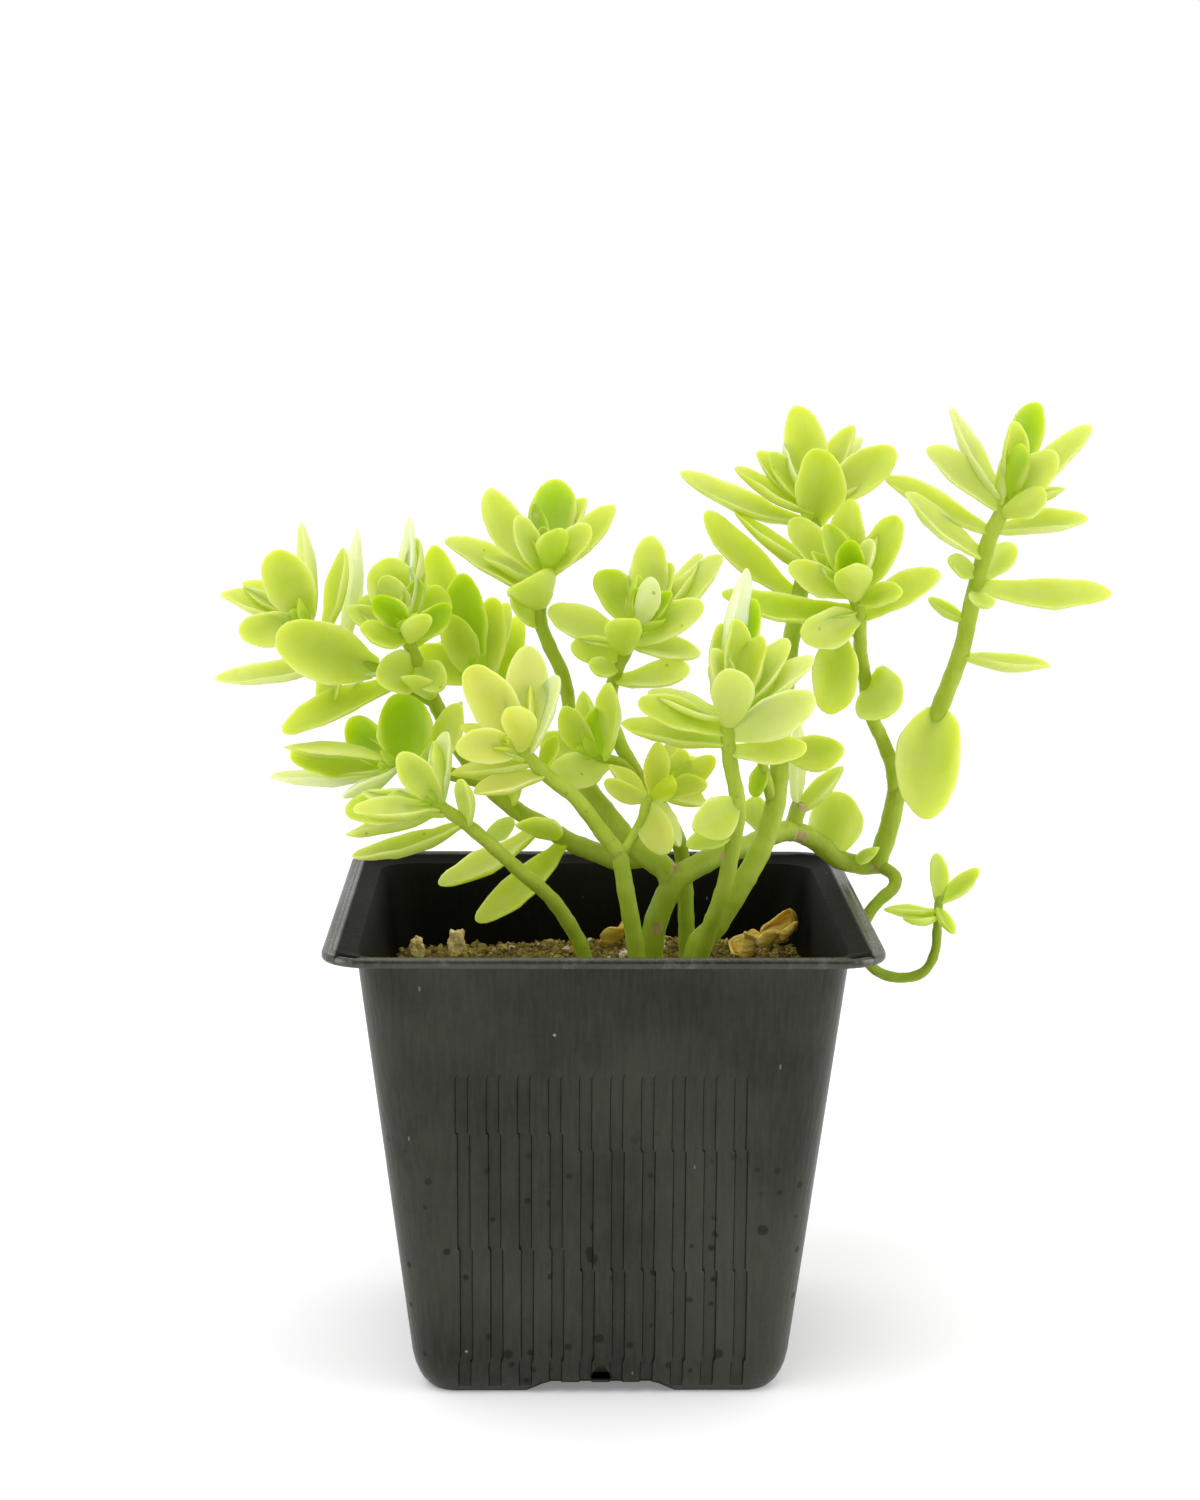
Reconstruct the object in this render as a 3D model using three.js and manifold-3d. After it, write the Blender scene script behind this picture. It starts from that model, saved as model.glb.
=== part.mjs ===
// A young stonecrop in a square nursery pot: a thin plastic pot, potting soil with litter on it, and five
// rooted stems with their fleshy leaves. Millimetres, +Z up. The pot's axis is modelled upright at x = y = 0,
// and the whole group is shifted at the end, so that the origin lies under the middle of the object's box.
import * as THREE from "three";
import { mergeVertices } from "three/addons/utils/BufferGeometryUtils.js";
import Module from "manifold-3d";

const wasm = await Module();
wasm.setup();

// Pot: half widths are of the rounded square, measured square to a wall.
const RIM_TOP = 77.2;
const RIM_HALF = 45;
const RIM_THICK = 1.5;
const RIM_CORNER = 8;
const MOUTH_HALF = 42.7;
const WALL_TOP_HALF = 39.9;
const WALL_FOOT_HALF = 31.4;
const WALL_FOOT_Z = 6;
const WALL_CORNER = 7;
const WALL_THICK = 1.1;
const FLOOR_Z = 3.3;
const CORNER_STEPS = 5;

// Profiles: half width, corner radius and height of a level. The heel is the outside under the walls, and the
// mouth is the inside above them, measured from the wall's inner face and from the rim's top.
const HEEL = [[27.7, 4.5, 0], [28.9, 5, 0.5], [30.4, 6, 2.4]];
const RIM_EDGE = 0.4;
const RIM_NECK = 0.8;
const MOUTH_FOOT = 3;
const MOUTH_LEVEL = [0.5, 7, 1.4];
const MOUTH_EDGE = 0.7;
const FLOOR_INSET = [1, 1.5];
const BEYOND = 1;

// Flutes: narrow sunk bands on the lower walls.
const FLUTES = 10;
const FLUTE_PITCH = 5.0;
const FLUTE_WIDTH = 2.0;
const FLUTE_DEPTH = 0.45;
const FLUTE_FOOT = 6.5;
const FLUTE_TOP = 56;

// Foot: a low arch on each side, and drain holes in the floor and in the heel.
const ARCH_HALF = 13.2;
const ARCH_TOP_HALF = 9;
const ARCH_RISE = 2.1;
const HEEL_HOLE = { width: 3.2, foot: 2.7, top: 4.2, reach: 26 };
const FLOOR_HOLES = { radius: 2.6, reach: 15, sides: 10 };

// Soil and what lies on it.
const SOIL_TOP = 60.8;
const SOIL_MOUND = { x: 12, y: 18, rise: 3.6, spread: 14 };
const SOIL_RELIEF = 1.1;
const GAP = 0.3;
const SOIL_RINGS = [1, 0.8, 0.6, 0.4, 0.2];
const ROOT_SIDES = 8;

// Leaves: shares of the length, and of the full width, at which a leaf has a section.
const LONG_LEAF = [[0.14, 0.4], [0.42, 0.86], [0.7, 1], [0.91, 0.7]];
const SHORT_LEAF = [[0.26, 0.66], [0.62, 1], [0.89, 0.74]];
const OVAL_LEAF = [[0.12, 0.52], [0.36, 0.94], [0.66, 1], [0.9, 0.7]];
const FULL_LEAF = [[0.06, 0.6], [0.24, 0.95], [0.62, 1], [0.92, 0.72]];
const SHORT_LENGTH = 12;
const OVAL = 1;
const FULL = 2;
const SUNK = 1.2;
const LEAF_THICK = 1.7;
const LEAF_FLAT = 0.4;
const LEAF_EDGE = 0.6;
const LEAN_SHARE = 1.5;
const LEAF_CURVE = 0.07;
const TRUE_WIDTH = 0.4;
const WIDEST_LEAF = 6.2;
const STEM_SIDES = 6;
const BOW = 0.7;

// Crown leaves: how they spread round a branch's end and lean out from it.
const CROWN_SPREAD = 0.75;
const CROWN_TILTS = [0.95, 0.55, 0.8, 0.4, 1.05, 0.65];
const CROWN_LENGTH = 11;
const CROWN_WIDTH = 5.2;
const CROWN_STEP = 0.7;

// Loose things: how thick a dry leaf is, and the way in which a thing is set down.
const DRY_THICK = 0.9;
const DRY_STEPS = 7;
const DRY_ACROSS = [-1, -0.5, 0, 0.5, 1];
const CHIP_RADIUS = 0.55;
const SET_FROM = 6;
const SET_STEP = 0.1;

// Tidying of fused solids: how far a face may move, and the shortest edge that is kept.
const SMOOTHING = 0.02;
const SHORTEST_EDGE = 0.01;

// The plant is described as it is sighted from the front. A place is how far across and how far up it is seen
// on the upright plane through the pot's axis, and how far behind that plane it lies along the line of sight.
const VIEWPOINT = new THREE.Vector3(-9.66, -491.4, 181.4);
const TO_VIEWPOINT = new THREE.Vector3(-0.02, -0.97, 0.22);
const SIGHT_SCALE = 0.991;
const SIGHT_DROP = 0.25;

// A branch is its line of places, its radius at both ends, its leaves, and the number of crown leaves behind.
// A leaf row is across and up of its foot, across and up of its tip, how far the tip leans back, seen width,
// and 1 where the leaf is oval or 2 where it is full at both ends.
const SHOOTS = [
  {
    name: "shoot_front_left",
    color: 0xb4cf45,
    branches: [
      {
        line: [[-1.5, 52, -13], [-2, 62, -13.5], [-3, 69.5, -14.5], [-8, 78, -17], [-14, 83.5, -18.5],
          [-20, 89, -19.5], [-25, 93, -20], [-29, 95.5, -20]],
        radius: [1.4, 1],
        crown: 4,
        leaves: [
          [-29.5, 96.5, -34.4, 104.3, -4, 5], [-30, 97.5, -41, 97.2, 3, 2.6],
          [-29, 95, -42.3, 93.8, -5, 3], [-30, 95.5, -44.3, 94.3, 3, 5.4], [-28.5, 95, -44, 89.8, 4, 2.2],
          [-28, 97, -26.9, 108, 2, 2.4], [-25, 92, -43, 86, 6, 2.4], [-21, 89.5, -15, 92.5, 2, 3],
          [-24, 92, -23.5, 99.5, -4, 2],
        ],
      },
    ],
  },
  {
    name: "shoot_front_middle",
    color: 0xc3d24a,
    branches: [
      {
        line: [[7.5, 52, -17], [7, 62, -17], [6.3, 69.8, -17.5], [4.5, 80, -18], [3.3, 87, -18]],
        radius: [1.6, 1.35],
        leaves: [],
      },
      {
        line: [[3.3, 86.5, -18], [-0.3, 91, -18], [-4.5, 96.5, -18], [-8.5, 99.5, -18],
          [-14.5, 105.5, -18.5]],
        radius: [1.35, 1.1],
        crown: 4,
        leaves: [
          [-13.5, 107, -12.6, 122.8, 3, 6.8], [-16, 106.5, -22.8, 119.2, 1, 7, 1],
          [-12.5, 105.5, -7.4, 117.9, 1, 3.4], [-15, 104.5, -25, 104.8, -4, 5.4, 1],
          [-15, 105, -24, 108.7, 4, 2], [-14, 105.5, -15.5, 112, -6, 5, 1], [-13, 103, -26, 100.4, 3, 2],
          [-11, 101, -22, 97.2, -3, 3.2], [-11, 102.5, -8, 107, 3, 2.6],
        ],
      },
      {
        line: [[3.5, 86, -18], [5.5, 89, -17], [7.2, 92.5, -15.5], [8.4, 96, -14.5], [11.5, 98, -14]],
        radius: [0.85, 0.8],
        crown: 3,
        leaves: [
          [10, 97, 9.8, 106, -2, 3.8], [12.5, 98, 14.8, 104.8, 0, 4, 1], [12.5, 97, 19.8, 103.3, -1, 3.8],
          [12.5, 96.5, 18.5, 98.8, -3, 3.2], [9, 96.5, 0.6, 99.3, -1, 3.3], [8.5, 97, 1.6, 102.2, 3, 2.3],
          [9.6, 95.8, 11.5, 86.3, -3, 5.2], [11, 96, 14.2, 88, 3, 2], [10.5, 98, 13.5, 107.2, 5, 3],
          [11, 96, 13, 99.3, -5, 2.6, 1],
        ],
      },
    ],
  },
  {
    name: "shoot_main",
    color: 0xaccb42,
    branches: [
      {
        line: [[9, 52, -7], [9, 62, -7.5], [9, 70, -8], [10.5, 76.5, -8.5], [13.5, 82, -8], [18, 85, -4],
          [22, 87, 0], [26, 88, 4], [30, 90, 8], [33.5, 90.5, 12], [37.5, 88.7, 16], [41, 85.8, 19],
          [45, 84.6, 20], [48.5, 84.6, 20]],
        radius: [2.1, 1.7],
        leaves: [
          [41, 86, 40.2, 97.6, 2, 8.8, 2], [45.5, 85, 48.6, 87.6, -3, 1.6],
        ],
      },
      {
        line: [[33, 90, 12], [34.5, 95.5, 12]],
        radius: [1.6, 1.3],
        leaves: [
          [34.5, 95, 41.7, 102, 3, 3.2], [34.4, 95.5, 34.2, 110, 3, 2],
        ],
      },
      {
        line: [[12.5, 81, -8], [11, 84, -6.5], [6, 87.5, -3], [1.5, 93, 0], [-2.8, 98.5, 3]],
        radius: [2.1, 1.7],
        leaves: [],
      },
      {
        line: [[-2, 97.5, 2.6], [-5.5, 103, 5], [-5.3, 110, 5], [-6.3, 117, 4], [-9, 123, 2.5],
          [-10.5, 128, 1], [-9.5, 135, 0], [-9, 138, 0]],
        radius: [1.2, 1.1],
        crown: 4,
        leaves: [
          [-8.5, 138, -7.3, 151.2, 4, 7.3], [-9.5, 137.5, -11.4, 147, 2, 3.6], [-8, 138, -3, 148.2, 4, 4],
          [-8, 135.5, 2.4, 146.6, -2, 3.8], [-8.3, 136.5, -1.7, 143, -5, 4.6],
          [-10.5, 136, -19.6, 149.5, 2, 5.6], [-10.5, 136.5, -14.6, 144.6, -3, 4.2],
          [-9, 137, -7.3, 142.9, -6, 4.8, 1], [-11.5, 135, -20, 138.2, 3, 2.2],
          [-10.2, 130.5, -12.6, 134.4, -5, 8.2, 1], [-10.6, 132.5, -26.6, 141.2, 4, 4.2],
          [-10.8, 127, -15.5, 131.5, -3, 3.6],
        ],
      },
      {
        line: [[8, 86, -4], [3, 85.5, 0], [0, 86.5, 2], [-5, 88.5, 5], [-10, 91.5, 7], [-15, 94.5, 8],
          [-20, 99, 8], [-25, 106, 7], [-29, 114, 5], [-32, 121, 2], [-34, 126, 0]],
        radius: [1.9, 1.1],
        crown: 3,
        leaves: [
          [-34.8, 127, -36.8, 137.6, 3, 8, 1], [-33.5, 127, -32.7, 144.9, 6, 2.9],
          [-33, 127, -31.3, 141, 5, 1.8], [-33.3, 126.5, -31, 134, 1, 3.2],
          [-34.5, 126, -38.6, 131, -5, 4.8], [-35, 125.5, -43.6, 129, 1, 3.4],
          [-34, 124.5, -41.2, 125.6, -5, 3.4], [-34, 124, -30.4, 128, -6, 3.6],
          [-33, 125, -26, 129.8, -1, 4.4], [-31.5, 124, -27.5, 133, 4, 6],
          [-30.5, 119, -38.6, 117.3, -5, 7, 1], [-31, 121, -27.3, 115, -4, 5],
          [-29, 115, -33.5, 117.5, -6, 3], [-8, 90, -14.2, 92, -6, 2.6], [-7, 89.5, -21.3, 74.2, -9, 4.4],
          [-12, 91.5, -28, 81, -8, 3], [-16, 96, -15, 104, -5, 3],
        ],
      },
      {
        line: [[-28.5, 113, 5], [-36, 117, 5], [-43, 121.5, 4], [-51, 127, 3]],
        radius: [1.2, 1.1],
        crown: 3,
        leaves: [
          [-51.5, 127.5, -56.3, 138.7, -1, 7.8, 1], [-52, 128, -61, 133.6, 3, 3.4],
          [-52, 127.5, -65, 131.5, 0, 4], [-51, 126, -62, 125, -3, 5.6, 1],
          [-38.5, 120, -55.6, 125, -8, 9.4, 1], [-49.5, 128.3, -51.1, 143.8, 5, 1.9],
          [-47, 127, -43.8, 139.6, 3, 2.8], [-44.6, 124, -41.6, 142.6, 7, 1.9],
          [-45, 120.5, -66.5, 117, 2, 2.4], [-38, 120, -52, 118.2, 1, 2.4],
          [-47.5, 122, -47.6, 110.8, 2, 3.8], [-43, 119, -44.3, 112.6, 5, 2],
          [-36, 117, -54.8, 107.6, -4, 4.6],
        ],
      },
      {
        line: [[-20, 99, 8], [-26, 100.5, 5], [-31, 101.5, 3], [-36, 102, 2]],
        radius: [1.3, 1],
        crown: 2,
        leaves: [
          [-36.5, 101.5, -53.5, 103.8, 1, 6], [-36.5, 102, -43.5, 109.8, 3, 6.4, 1],
          [-36.5, 102.5, -54.7, 105, -1, 1.8], [-36, 101, -57, 100, 5, 1.2],
          [-34.5, 102, -34.6, 114.5, -2, 8.9, 1], [-31, 101, -24, 112.6, -3, 4.4],
          [-33, 102.5, -24, 113.2, 4, 1.6], [-36, 100.5, -44.8, 96.3, -3, 1],
        ],
      },
      {
        line: [[-16, 95, 8], [-18, 104, 12], [-20.5, 112, 14], [-22, 119, 14]],
        radius: [1.3, 1],
        crown: 3,
        leaves: [
          [-22.5, 119, -28.7, 140, 2, 6.2], [-22, 117, -23.6, 135.3, -3, 7.6],
          [-21, 116, -18.2, 131.2, -1, 5.8], [-20.5, 114, -16, 130.3, 2, 5.4],
          [-22, 117.5, -31.6, 122, -1, 6, 1], [-20, 112, -14, 128, 5, 5.4],
          [-22, 118, -26.2, 128, -4, 5.5],
        ],
      },
      {
        line: [[48, 84.6, 20], [50, 91, 20], [51.2, 97, 19], [53, 102, 19], [57, 109, 18],
          [59.8, 116, 17], [61.8, 122, 17], [63, 128, 16], [64, 133, 16], [65.5, 139, 15],
          [67, 143.5, 15], [70, 149, 15]],
        radius: [1.8, 1.3],
        crown: 4,
        leaves: [
          [71, 150, 73.9, 164.7, 3, 5.8], [69.8, 150, 69.7, 161.4, -2, 3.9],
          [71, 150, 71.6, 157.3, -4, 3.4], [70.5, 147, 77.4, 156, -5, 6.4, 1],
          [70.5, 150, 82.9, 160.6, 3, 4.2], [69.5, 146, 75.5, 149.5, -5, 4.6],
          [68.5, 149, 58.9, 163.7, 3, 2.1], [68, 148, 55, 156.8, -2, 4.8],
          [66.5, 143.5, 48, 151.8, 2, 3.4], [65.5, 139.5, 51.5, 149, -4, 3.6],
          [67.5, 143.8, 83, 144.9, 2, 2.4], [64.5, 134.5, 87.5, 132, -4, 5.2],
          [65, 135, 70.6, 140.4, 4, 4.4], [64.8, 136, 59.2, 137.8, -3, 3.2],
          [64.2, 133.5, 66.5, 129.6, -6, 2.6], [62.8, 128.5, 55.8, 131.2, 2, 1.5],
          [62, 122.3, 77.4, 119.3, -2, 1.9], [58.3, 113.6, 56, 92.6, -7, 10.2, 2],
        ],
      },
      {
        line: [[51, 96, 19], [50.5, 101, 18], [49, 105.5, 17], [46.5, 111, 14], [45.5, 116, 12],
          [44.5, 122, 9], [44, 129, 6], [42, 134, 5]],
        radius: [1.3, 1.1],
        crown: 4,
        leaves: [
          [41.5, 132.5, 31.8, 136.7, -3, 5.2], [42, 131.5, 42.2, 136.6, -7, 6, 1],
          [41, 134, 38.4, 143.8, 1, 4.4], [42, 134, 42.2, 141.3, -4, 4.4],
          [43, 133.5, 46.3, 141, -3, 2.4], [42, 134, 42.3, 148, 3, 6, 1],
          [41, 133.5, 31.8, 144.6, 3, 5.6, 1], [43, 133, 50.4, 145.2, 0, 5.8, 1],
          [43, 131.5, 51.5, 132, -5, 3.8], [44, 128.5, 58, 135.6, 0, 5],
          [43.5, 129, 34, 124.6, -6, 6.2, 1], [43, 130, 20.5, 131.6, -4, 3.8],
          [40.5, 133.5, 22.6, 145.9, 7, 1.2], [45, 117, 51.6, 112.4, -7, 9.2, 2],
        ],
      },
      {
        line: [[44.4, 124.6, 8.5], [41.5, 126, 6.5], [39, 125.6, 6]],
        radius: [0.9, 0.7],
        leaves: [
          [39, 125, 39.6, 110.8, -3, 7.4, 1],
        ],
      },
      {
        line: [[48, 84.6, 20], [51, 82.8, 18], [51, 80.5, 16], [48.6, 78.3, 14], [46.4, 75, 13],
          [45.6, 70.5, 12], [48, 66, 12], [52.5, 64.5, 12], [56.5, 65.5, 12], [58.5, 69, 12],
          [58.8, 73, 12], [59, 79, 12]],
        radius: [1.2, 0.75],
        leaves: [
          [59, 79.5, 58.4, 86.6, 1, 3, 1], [59.4, 79, 65.8, 83.8, 0, 2.6],
          [58.9, 77.6, 49.4, 76.7, -1, 1.1], [58.8, 76.5, 53, 75, -3, 1],
          [59.2, 78.5, 61.6, 72.3, -3, 1.8],
        ],
      },
    ],
  },
  {
    name: "shoot_right",
    color: 0xb0cd40,
    branches: [
      {
        line: [[15.5, 52, -13], [16, 62, -13.5], [17, 70, -14], [20, 73.5, -14], [24, 80, -13],
          [27.5, 86.5, -11], [29.5, 92, -9], [30.5, 97, -7], [31, 104, -4], [31.5, 113, 2],
          [32.3, 122, 8], [34, 132, 13], [36, 143, 17], [37, 148, 17]],
        radius: [2.1, 1.3],
        crown: 4,
        leaves: [
          [36.5, 147.5, 32.9, 163.9, 4, 7], [36.5, 144, 36.7, 156.7, -5, 7.9, 1],
          [37.5, 147.5, 50, 156.5, 0, 6.6], [37.5, 149, 42.4, 160.7, 4, 4.4],
          [37.5, 148.5, 43.6, 158.5, 6, 2.6], [36, 147.5, 26.4, 156.1, 2, 4],
          [36, 147.5, 28.3, 155.8, 0, 3.4], [36, 147, 22.5, 153.2, -2, 2.6],
          [35.5, 145, 13.1, 152.4, 1, 2.6], [36, 148, 30.5, 157.5, 3, 2.2],
          [34.2, 132, 17.2, 145.7, 2, 4.5], [31.2, 105.5, 42.2, 104.8, -5, 5.6, 1],
          [29.2, 91, 25.8, 96.3, 4, 4.2, 1],
        ],
      },
      {
        line: [[30, 95, -8], [28.5, 100, -8], [27.5, 104.5, -8]],
        radius: [1.1, 0.8],
        leaves: [
          [27.5, 103.5, 26.5, 110, 1, 3.2], [27.8, 103.5, 26.5, 96.4, -1, 3, 1],
        ],
      },
      {
        line: [[16, 58, -14], [17, 65, -15.5], [18.5, 71.5, -18], [21.3, 79.5, -20], [23, 88, -21],
          [23.8, 95, -22], [22.3, 103, -22], [21.8, 110, -22], [22.3, 113, -22]],
        radius: [1.55, 1.1],
        crown: 4,
        leaves: [
          [22.3, 109.8, 22.7, 118.8, -5, 6.4, 1], [22, 112, 19.4, 122.5, -1, 3.2],
          [22.3, 113, 20.4, 126.5, 3, 4], [22.5, 113, 23.5, 127.5, 1, 4.4],
          [22.5, 112.5, 27.6, 124.8, 1, 4.6], [22.5, 112, 32, 124.2, 2, 4],
          [21.8, 109, 6.2, 113, -1, 4.6], [22, 107, 3.3, 109.3, 3, 3.2], [22.2, 111.5, 8, 115, 2, 2.6],
          [22.3, 110, 36.6, 121, -1, 3], [22.2, 108.5, 36.8, 114.3, -4, 6.2, 1],
          [22.3, 106, 35.8, 104.6, -3, 4.4], [22.5, 112.5, 25, 136.2, 6, 1.4], [22.6, 112, 26, 131, 7, 6],
          [23.4, 97, 16, 91, -5, 6.2, 1], [23.2, 91, 15, 87.8, -2, 3],
        ],
      },
    ],
  },
  {
    name: "shoot_middle",
    color: 0xa6c83e,
    branches: [
      {
        line: [[15.5, 52, 3], [15.3, 62, 3], [15.2, 70.5, 3], [14.8, 80, 3.5], [13.8, 88, 3], [11, 94, 1],
          [8, 98, -1], [5.4, 102, -2], [3.2, 106, -2], [2, 110, -1], [1.8, 115, 0], [3.2, 119.5, 0],
          [5.5, 124, 0], [7, 127, 0]],
        radius: [1.5, 1],
        crown: 4,
        leaves: [
          [7.3, 127, 8.3, 141.6, 4, 6.2, 1], [7.8, 126.5, 11.8, 137, 3, 4.4],
          [6.5, 127, -0.3, 135.8, 3, 6.4, 1], [7, 126.5, 6, 132.8, -1, 2.6],
          [7.5, 126, 9.2, 134.3, -4, 3.4], [7.8, 125.5, 12, 132.3, -1, 2.6],
          [5.6, 124, -9.5, 129, -1, 4.6], [4.5, 122, -5.2, 122.6, -3, 5, 1],
          [5, 122.5, 4.3, 127.4, -6, 5.8, 1], [6.5, 123.5, 17.5, 130, -3, 5],
          [7.5, 125.5, 20.6, 138.5, 3, 4.6], [7.5, 125.5, 17.1, 138.7, 6, 2.6],
          [3.2, 120, -2, 119.2, -5, 3], [2.6, 118, 15.4, 118.6, -4, 3.2], [6, 124, 17, 121, -3, 3.6],
        ],
      },
      {
        line: [[8, 98, -1], [4, 102, -3], [0, 103, -5], [-2, 104, -5.5]],
        radius: [1.1, 0.9],
        crown: 2,
        leaves: [
          [-2, 104.5, -1, 112, -2, 4.2, 1], [-2.5, 104.5, -6.3, 112.2, -3, 4.6],
          [-1, 103.5, 2, 116.2, -6, 3.8], [0.5, 103, -9.6, 99.4, -7, 5.6, 1],
          [-2, 104, -3.2, 114.8, 1, 2.2], [-2.3, 104, -8, 101.8, 1, 3],
        ],
      },
    ],
  },
];

// Litter: dry leaves as sheets bent round their length, and chips and grains as rough stones.
const DRY_LEAVES = [
  {
    name: "dry_leaf_right", color: 0xb98a4a, at: [28.6, 74, 19],
    length: 14.5, width: 12.5, curl: 2.2, pitch: 1.1, yaw: -0.15,
  },
  {
    name: "dry_leaf_middle", color: 0xc08a5a, at: [3, 74, 26],
    length: 8, width: 6, curl: 1.6, pitch: 1.2, yaw: 0.3,
  },
];
const CHIPS = [
  { name: "bark_chip_left", color: 0xb59a62, at: [-31.6, 70, 25], size: [3.2, 2, 5], seed: 1 },
  { name: "bark_chip_right", color: 0xb59a62, at: [-25, 70.4, 25], size: [3.4, 2, 5.6], seed: 2 },
  { name: "perlite_grain_1", color: 0xe9e6da, at: [10, 69.8, 20], size: [3, 2.4, 2.2], seed: 3 },
  { name: "perlite_grain_2", color: 0xe9e6da, at: [4.5, 69.4, 14.5], size: [2.4, 2.2, 1.8], seed: 4 },
];

// Turns a sighted place into a point in space.
function placed([across, up, back]) {
  const onPlane = new THREE.Vector3(across * SIGHT_SCALE, 0, up * SIGHT_SCALE - SIGHT_DROP);
  return VIEWPOINT.clone().lerp(onPlane, 1 - back / VIEWPOINT.y);
}

function hash(a, b) {
  const s = Math.sin(a * 127.1 + b * 311.7) * 43758.5453;
  return s - Math.floor(s);
}

// A solid from rings of points with the same count, closed at each end round one more point.
function ringSolid(rings, start, end) {
  const count = rings[0].length;
  const points = [start, ...rings.flat(), end];
  const last = points.length - 1;
  const faces = [];
  for (let i = 0; i < count; i += 1) {
    const next = (i + 1) % count;
    faces.push([0, 1 + next, 1 + i]);
    faces.push([last, last - count + i, last - count + next]);
    for (let r = 0; r + 1 < rings.length; r += 1) {
      const low = 1 + r * count;
      const high = low + count;
      faces.push([low + i, low + next, high + next]);
      faces.push([low + i, high + next, high + i]);
    }
  }
  return solid(points, faces);
}

function solid(points, faces) {
  const vertProperties = new Float32Array(points.flatMap((p) => [p.x, p.y, p.z]));
  const mesh = new wasm.Mesh({ numProp: 3, vertProperties, triVerts: new Uint32Array(faces.flat()) });
  const body = new wasm.Manifold(mesh);
  return body.volume() < 0 ? insideOut(points, faces) : body;
}

function insideOut(points, faces) {
  return solid(points, faces.map(([a, b, c]) => [a, c, b]));
}

function fuse(bodies) {
  return wasm.Manifold.union(bodies);
}

// The biggest piece alone, as its outer skin: scraps are dropped and sealed hollows are filled.
function wholeBody(body) {
  return body.decompose().sort((a, b) => b.volume() - a.volume())[0];
}

function isShort(positions, a, b) {
  const gap = Math.hypot(
    positions[3 * a] - positions[3 * b],
    positions[3 * a + 1] - positions[3 * b + 1],
    positions[3 * a + 2] - positions[3 * b + 2],
  );
  return gap < SHORTEST_EDGE;
}

function neighbours(faces, vertex) {
  const around = faces.filter((face) => face.includes(vertex)).flat();
  return new Set(around.filter((other) => other !== vertex));
}

// Fusing leaves some edges that are far too short to matter. Each is drawn together to a point, where the two
// ends share just the two corners beside the edge, so that the surface stays closed.
function withoutShortEdges(body) {
  const { vertProperties, triVerts } = wholeBody(body.asOriginal().simplify(SMOOTHING)).getMesh();
  let faces = Array.from({ length: triVerts.length / 3 }, (_, i) => [...triVerts.slice(3 * i, 3 * i + 3)]);
  let index = 0;
  while (index < faces.length) {
    const face = faces[index];
    const corner = [0, 1, 2].find((k) => isShort(vertProperties, face[k], face[(k + 1) % 3]));
    const [keep, drop] = corner === undefined ? [] : [face[corner], face[(corner + 1) % 3]];
    const beside = corner === undefined ? null : neighbours(faces, drop);
    const shared = beside === null ? 0 : [...neighbours(faces, keep)].filter((v) => beside.has(v)).length;
    if (shared === 2) {
      faces = faces.map((old) => old.map((v) => (v === drop ? keep : v)));
      faces = faces.filter(([a, b, c]) => a !== b && b !== c && c !== a);
      index = 0;
    } else {
      index += 1;
    }
  }
  return { positions: vertProperties, faces };
}

// Pot
function roundedSquare(half, corner, z) {
  const ring = [];
  for (let side = 0; side < 4; side += 1) {
    for (let step = 0; step <= CORNER_STEPS; step += 1) {
      const angle = (side + step / CORNER_STEPS) * (Math.PI / 2);
      const quarter = (side + 0.5) * (Math.PI / 2);
      const cx = Math.sign(Math.cos(quarter)) * (half - corner);
      const cy = Math.sign(Math.sin(quarter)) * (half - corner);
      ring.push(new THREE.Vector3(cx + corner * Math.cos(angle), cy + corner * Math.sin(angle), z));
    }
  }
  return ring;
}

function squareSolid(levels) {
  const rings = levels.map(([half, corner, z]) => roundedSquare(half, corner, z));
  const foot = new THREE.Vector3(0, 0, levels[0][2]);
  const top = new THREE.Vector3(0, 0, levels[levels.length - 1][2]);
  return ringSolid(rings, foot, top);
}

function wallHalf(z) {
  const share = (z - WALL_FOOT_Z) / (RIM_TOP - WALL_FOOT_Z);
  return WALL_FOOT_HALF + share * (WALL_TOP_HALF - WALL_FOOT_HALF);
}

function potOutside() {
  const underRim = RIM_TOP - RIM_THICK;
  return squareSolid([
    ...HEEL,
    [wallHalf(WALL_FOOT_Z), WALL_CORNER, WALL_FOOT_Z],
    [wallHalf(underRim - RIM_NECK), WALL_CORNER, underRim - RIM_NECK],
    [wallHalf(underRim) + RIM_NECK, WALL_CORNER, underRim],
    [RIM_HALF - RIM_EDGE, RIM_CORNER, underRim],
    [RIM_HALF, RIM_CORNER, underRim + RIM_EDGE],
    [RIM_HALF, RIM_CORNER, RIM_TOP - RIM_EDGE],
    [RIM_HALF - RIM_EDGE, RIM_CORNER, RIM_TOP],
  ]);
}

function potInside() {
  const mouthFoot = RIM_TOP - MOUTH_FOOT;
  const [flare, corner, drop] = MOUTH_LEVEL;
  return squareSolid([
    [wallHalf(FLOOR_Z) - WALL_THICK - FLOOR_INSET[0], WALL_CORNER - FLOOR_INSET[1], FLOOR_Z],
    [wallHalf(WALL_FOOT_Z) - WALL_THICK, WALL_CORNER - WALL_THICK, WALL_FOOT_Z],
    [wallHalf(mouthFoot) - WALL_THICK, WALL_CORNER - WALL_THICK, mouthFoot],
    [wallHalf(RIM_TOP - drop) - WALL_THICK + flare, corner, RIM_TOP - drop],
    [MOUTH_HALF - MOUTH_EDGE, WALL_CORNER, RIM_TOP - RIM_EDGE],
    [MOUTH_HALF, WALL_CORNER, RIM_TOP],
    [MOUTH_HALF, WALL_CORNER, RIM_TOP + BEYOND],
  ]);
}

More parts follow.
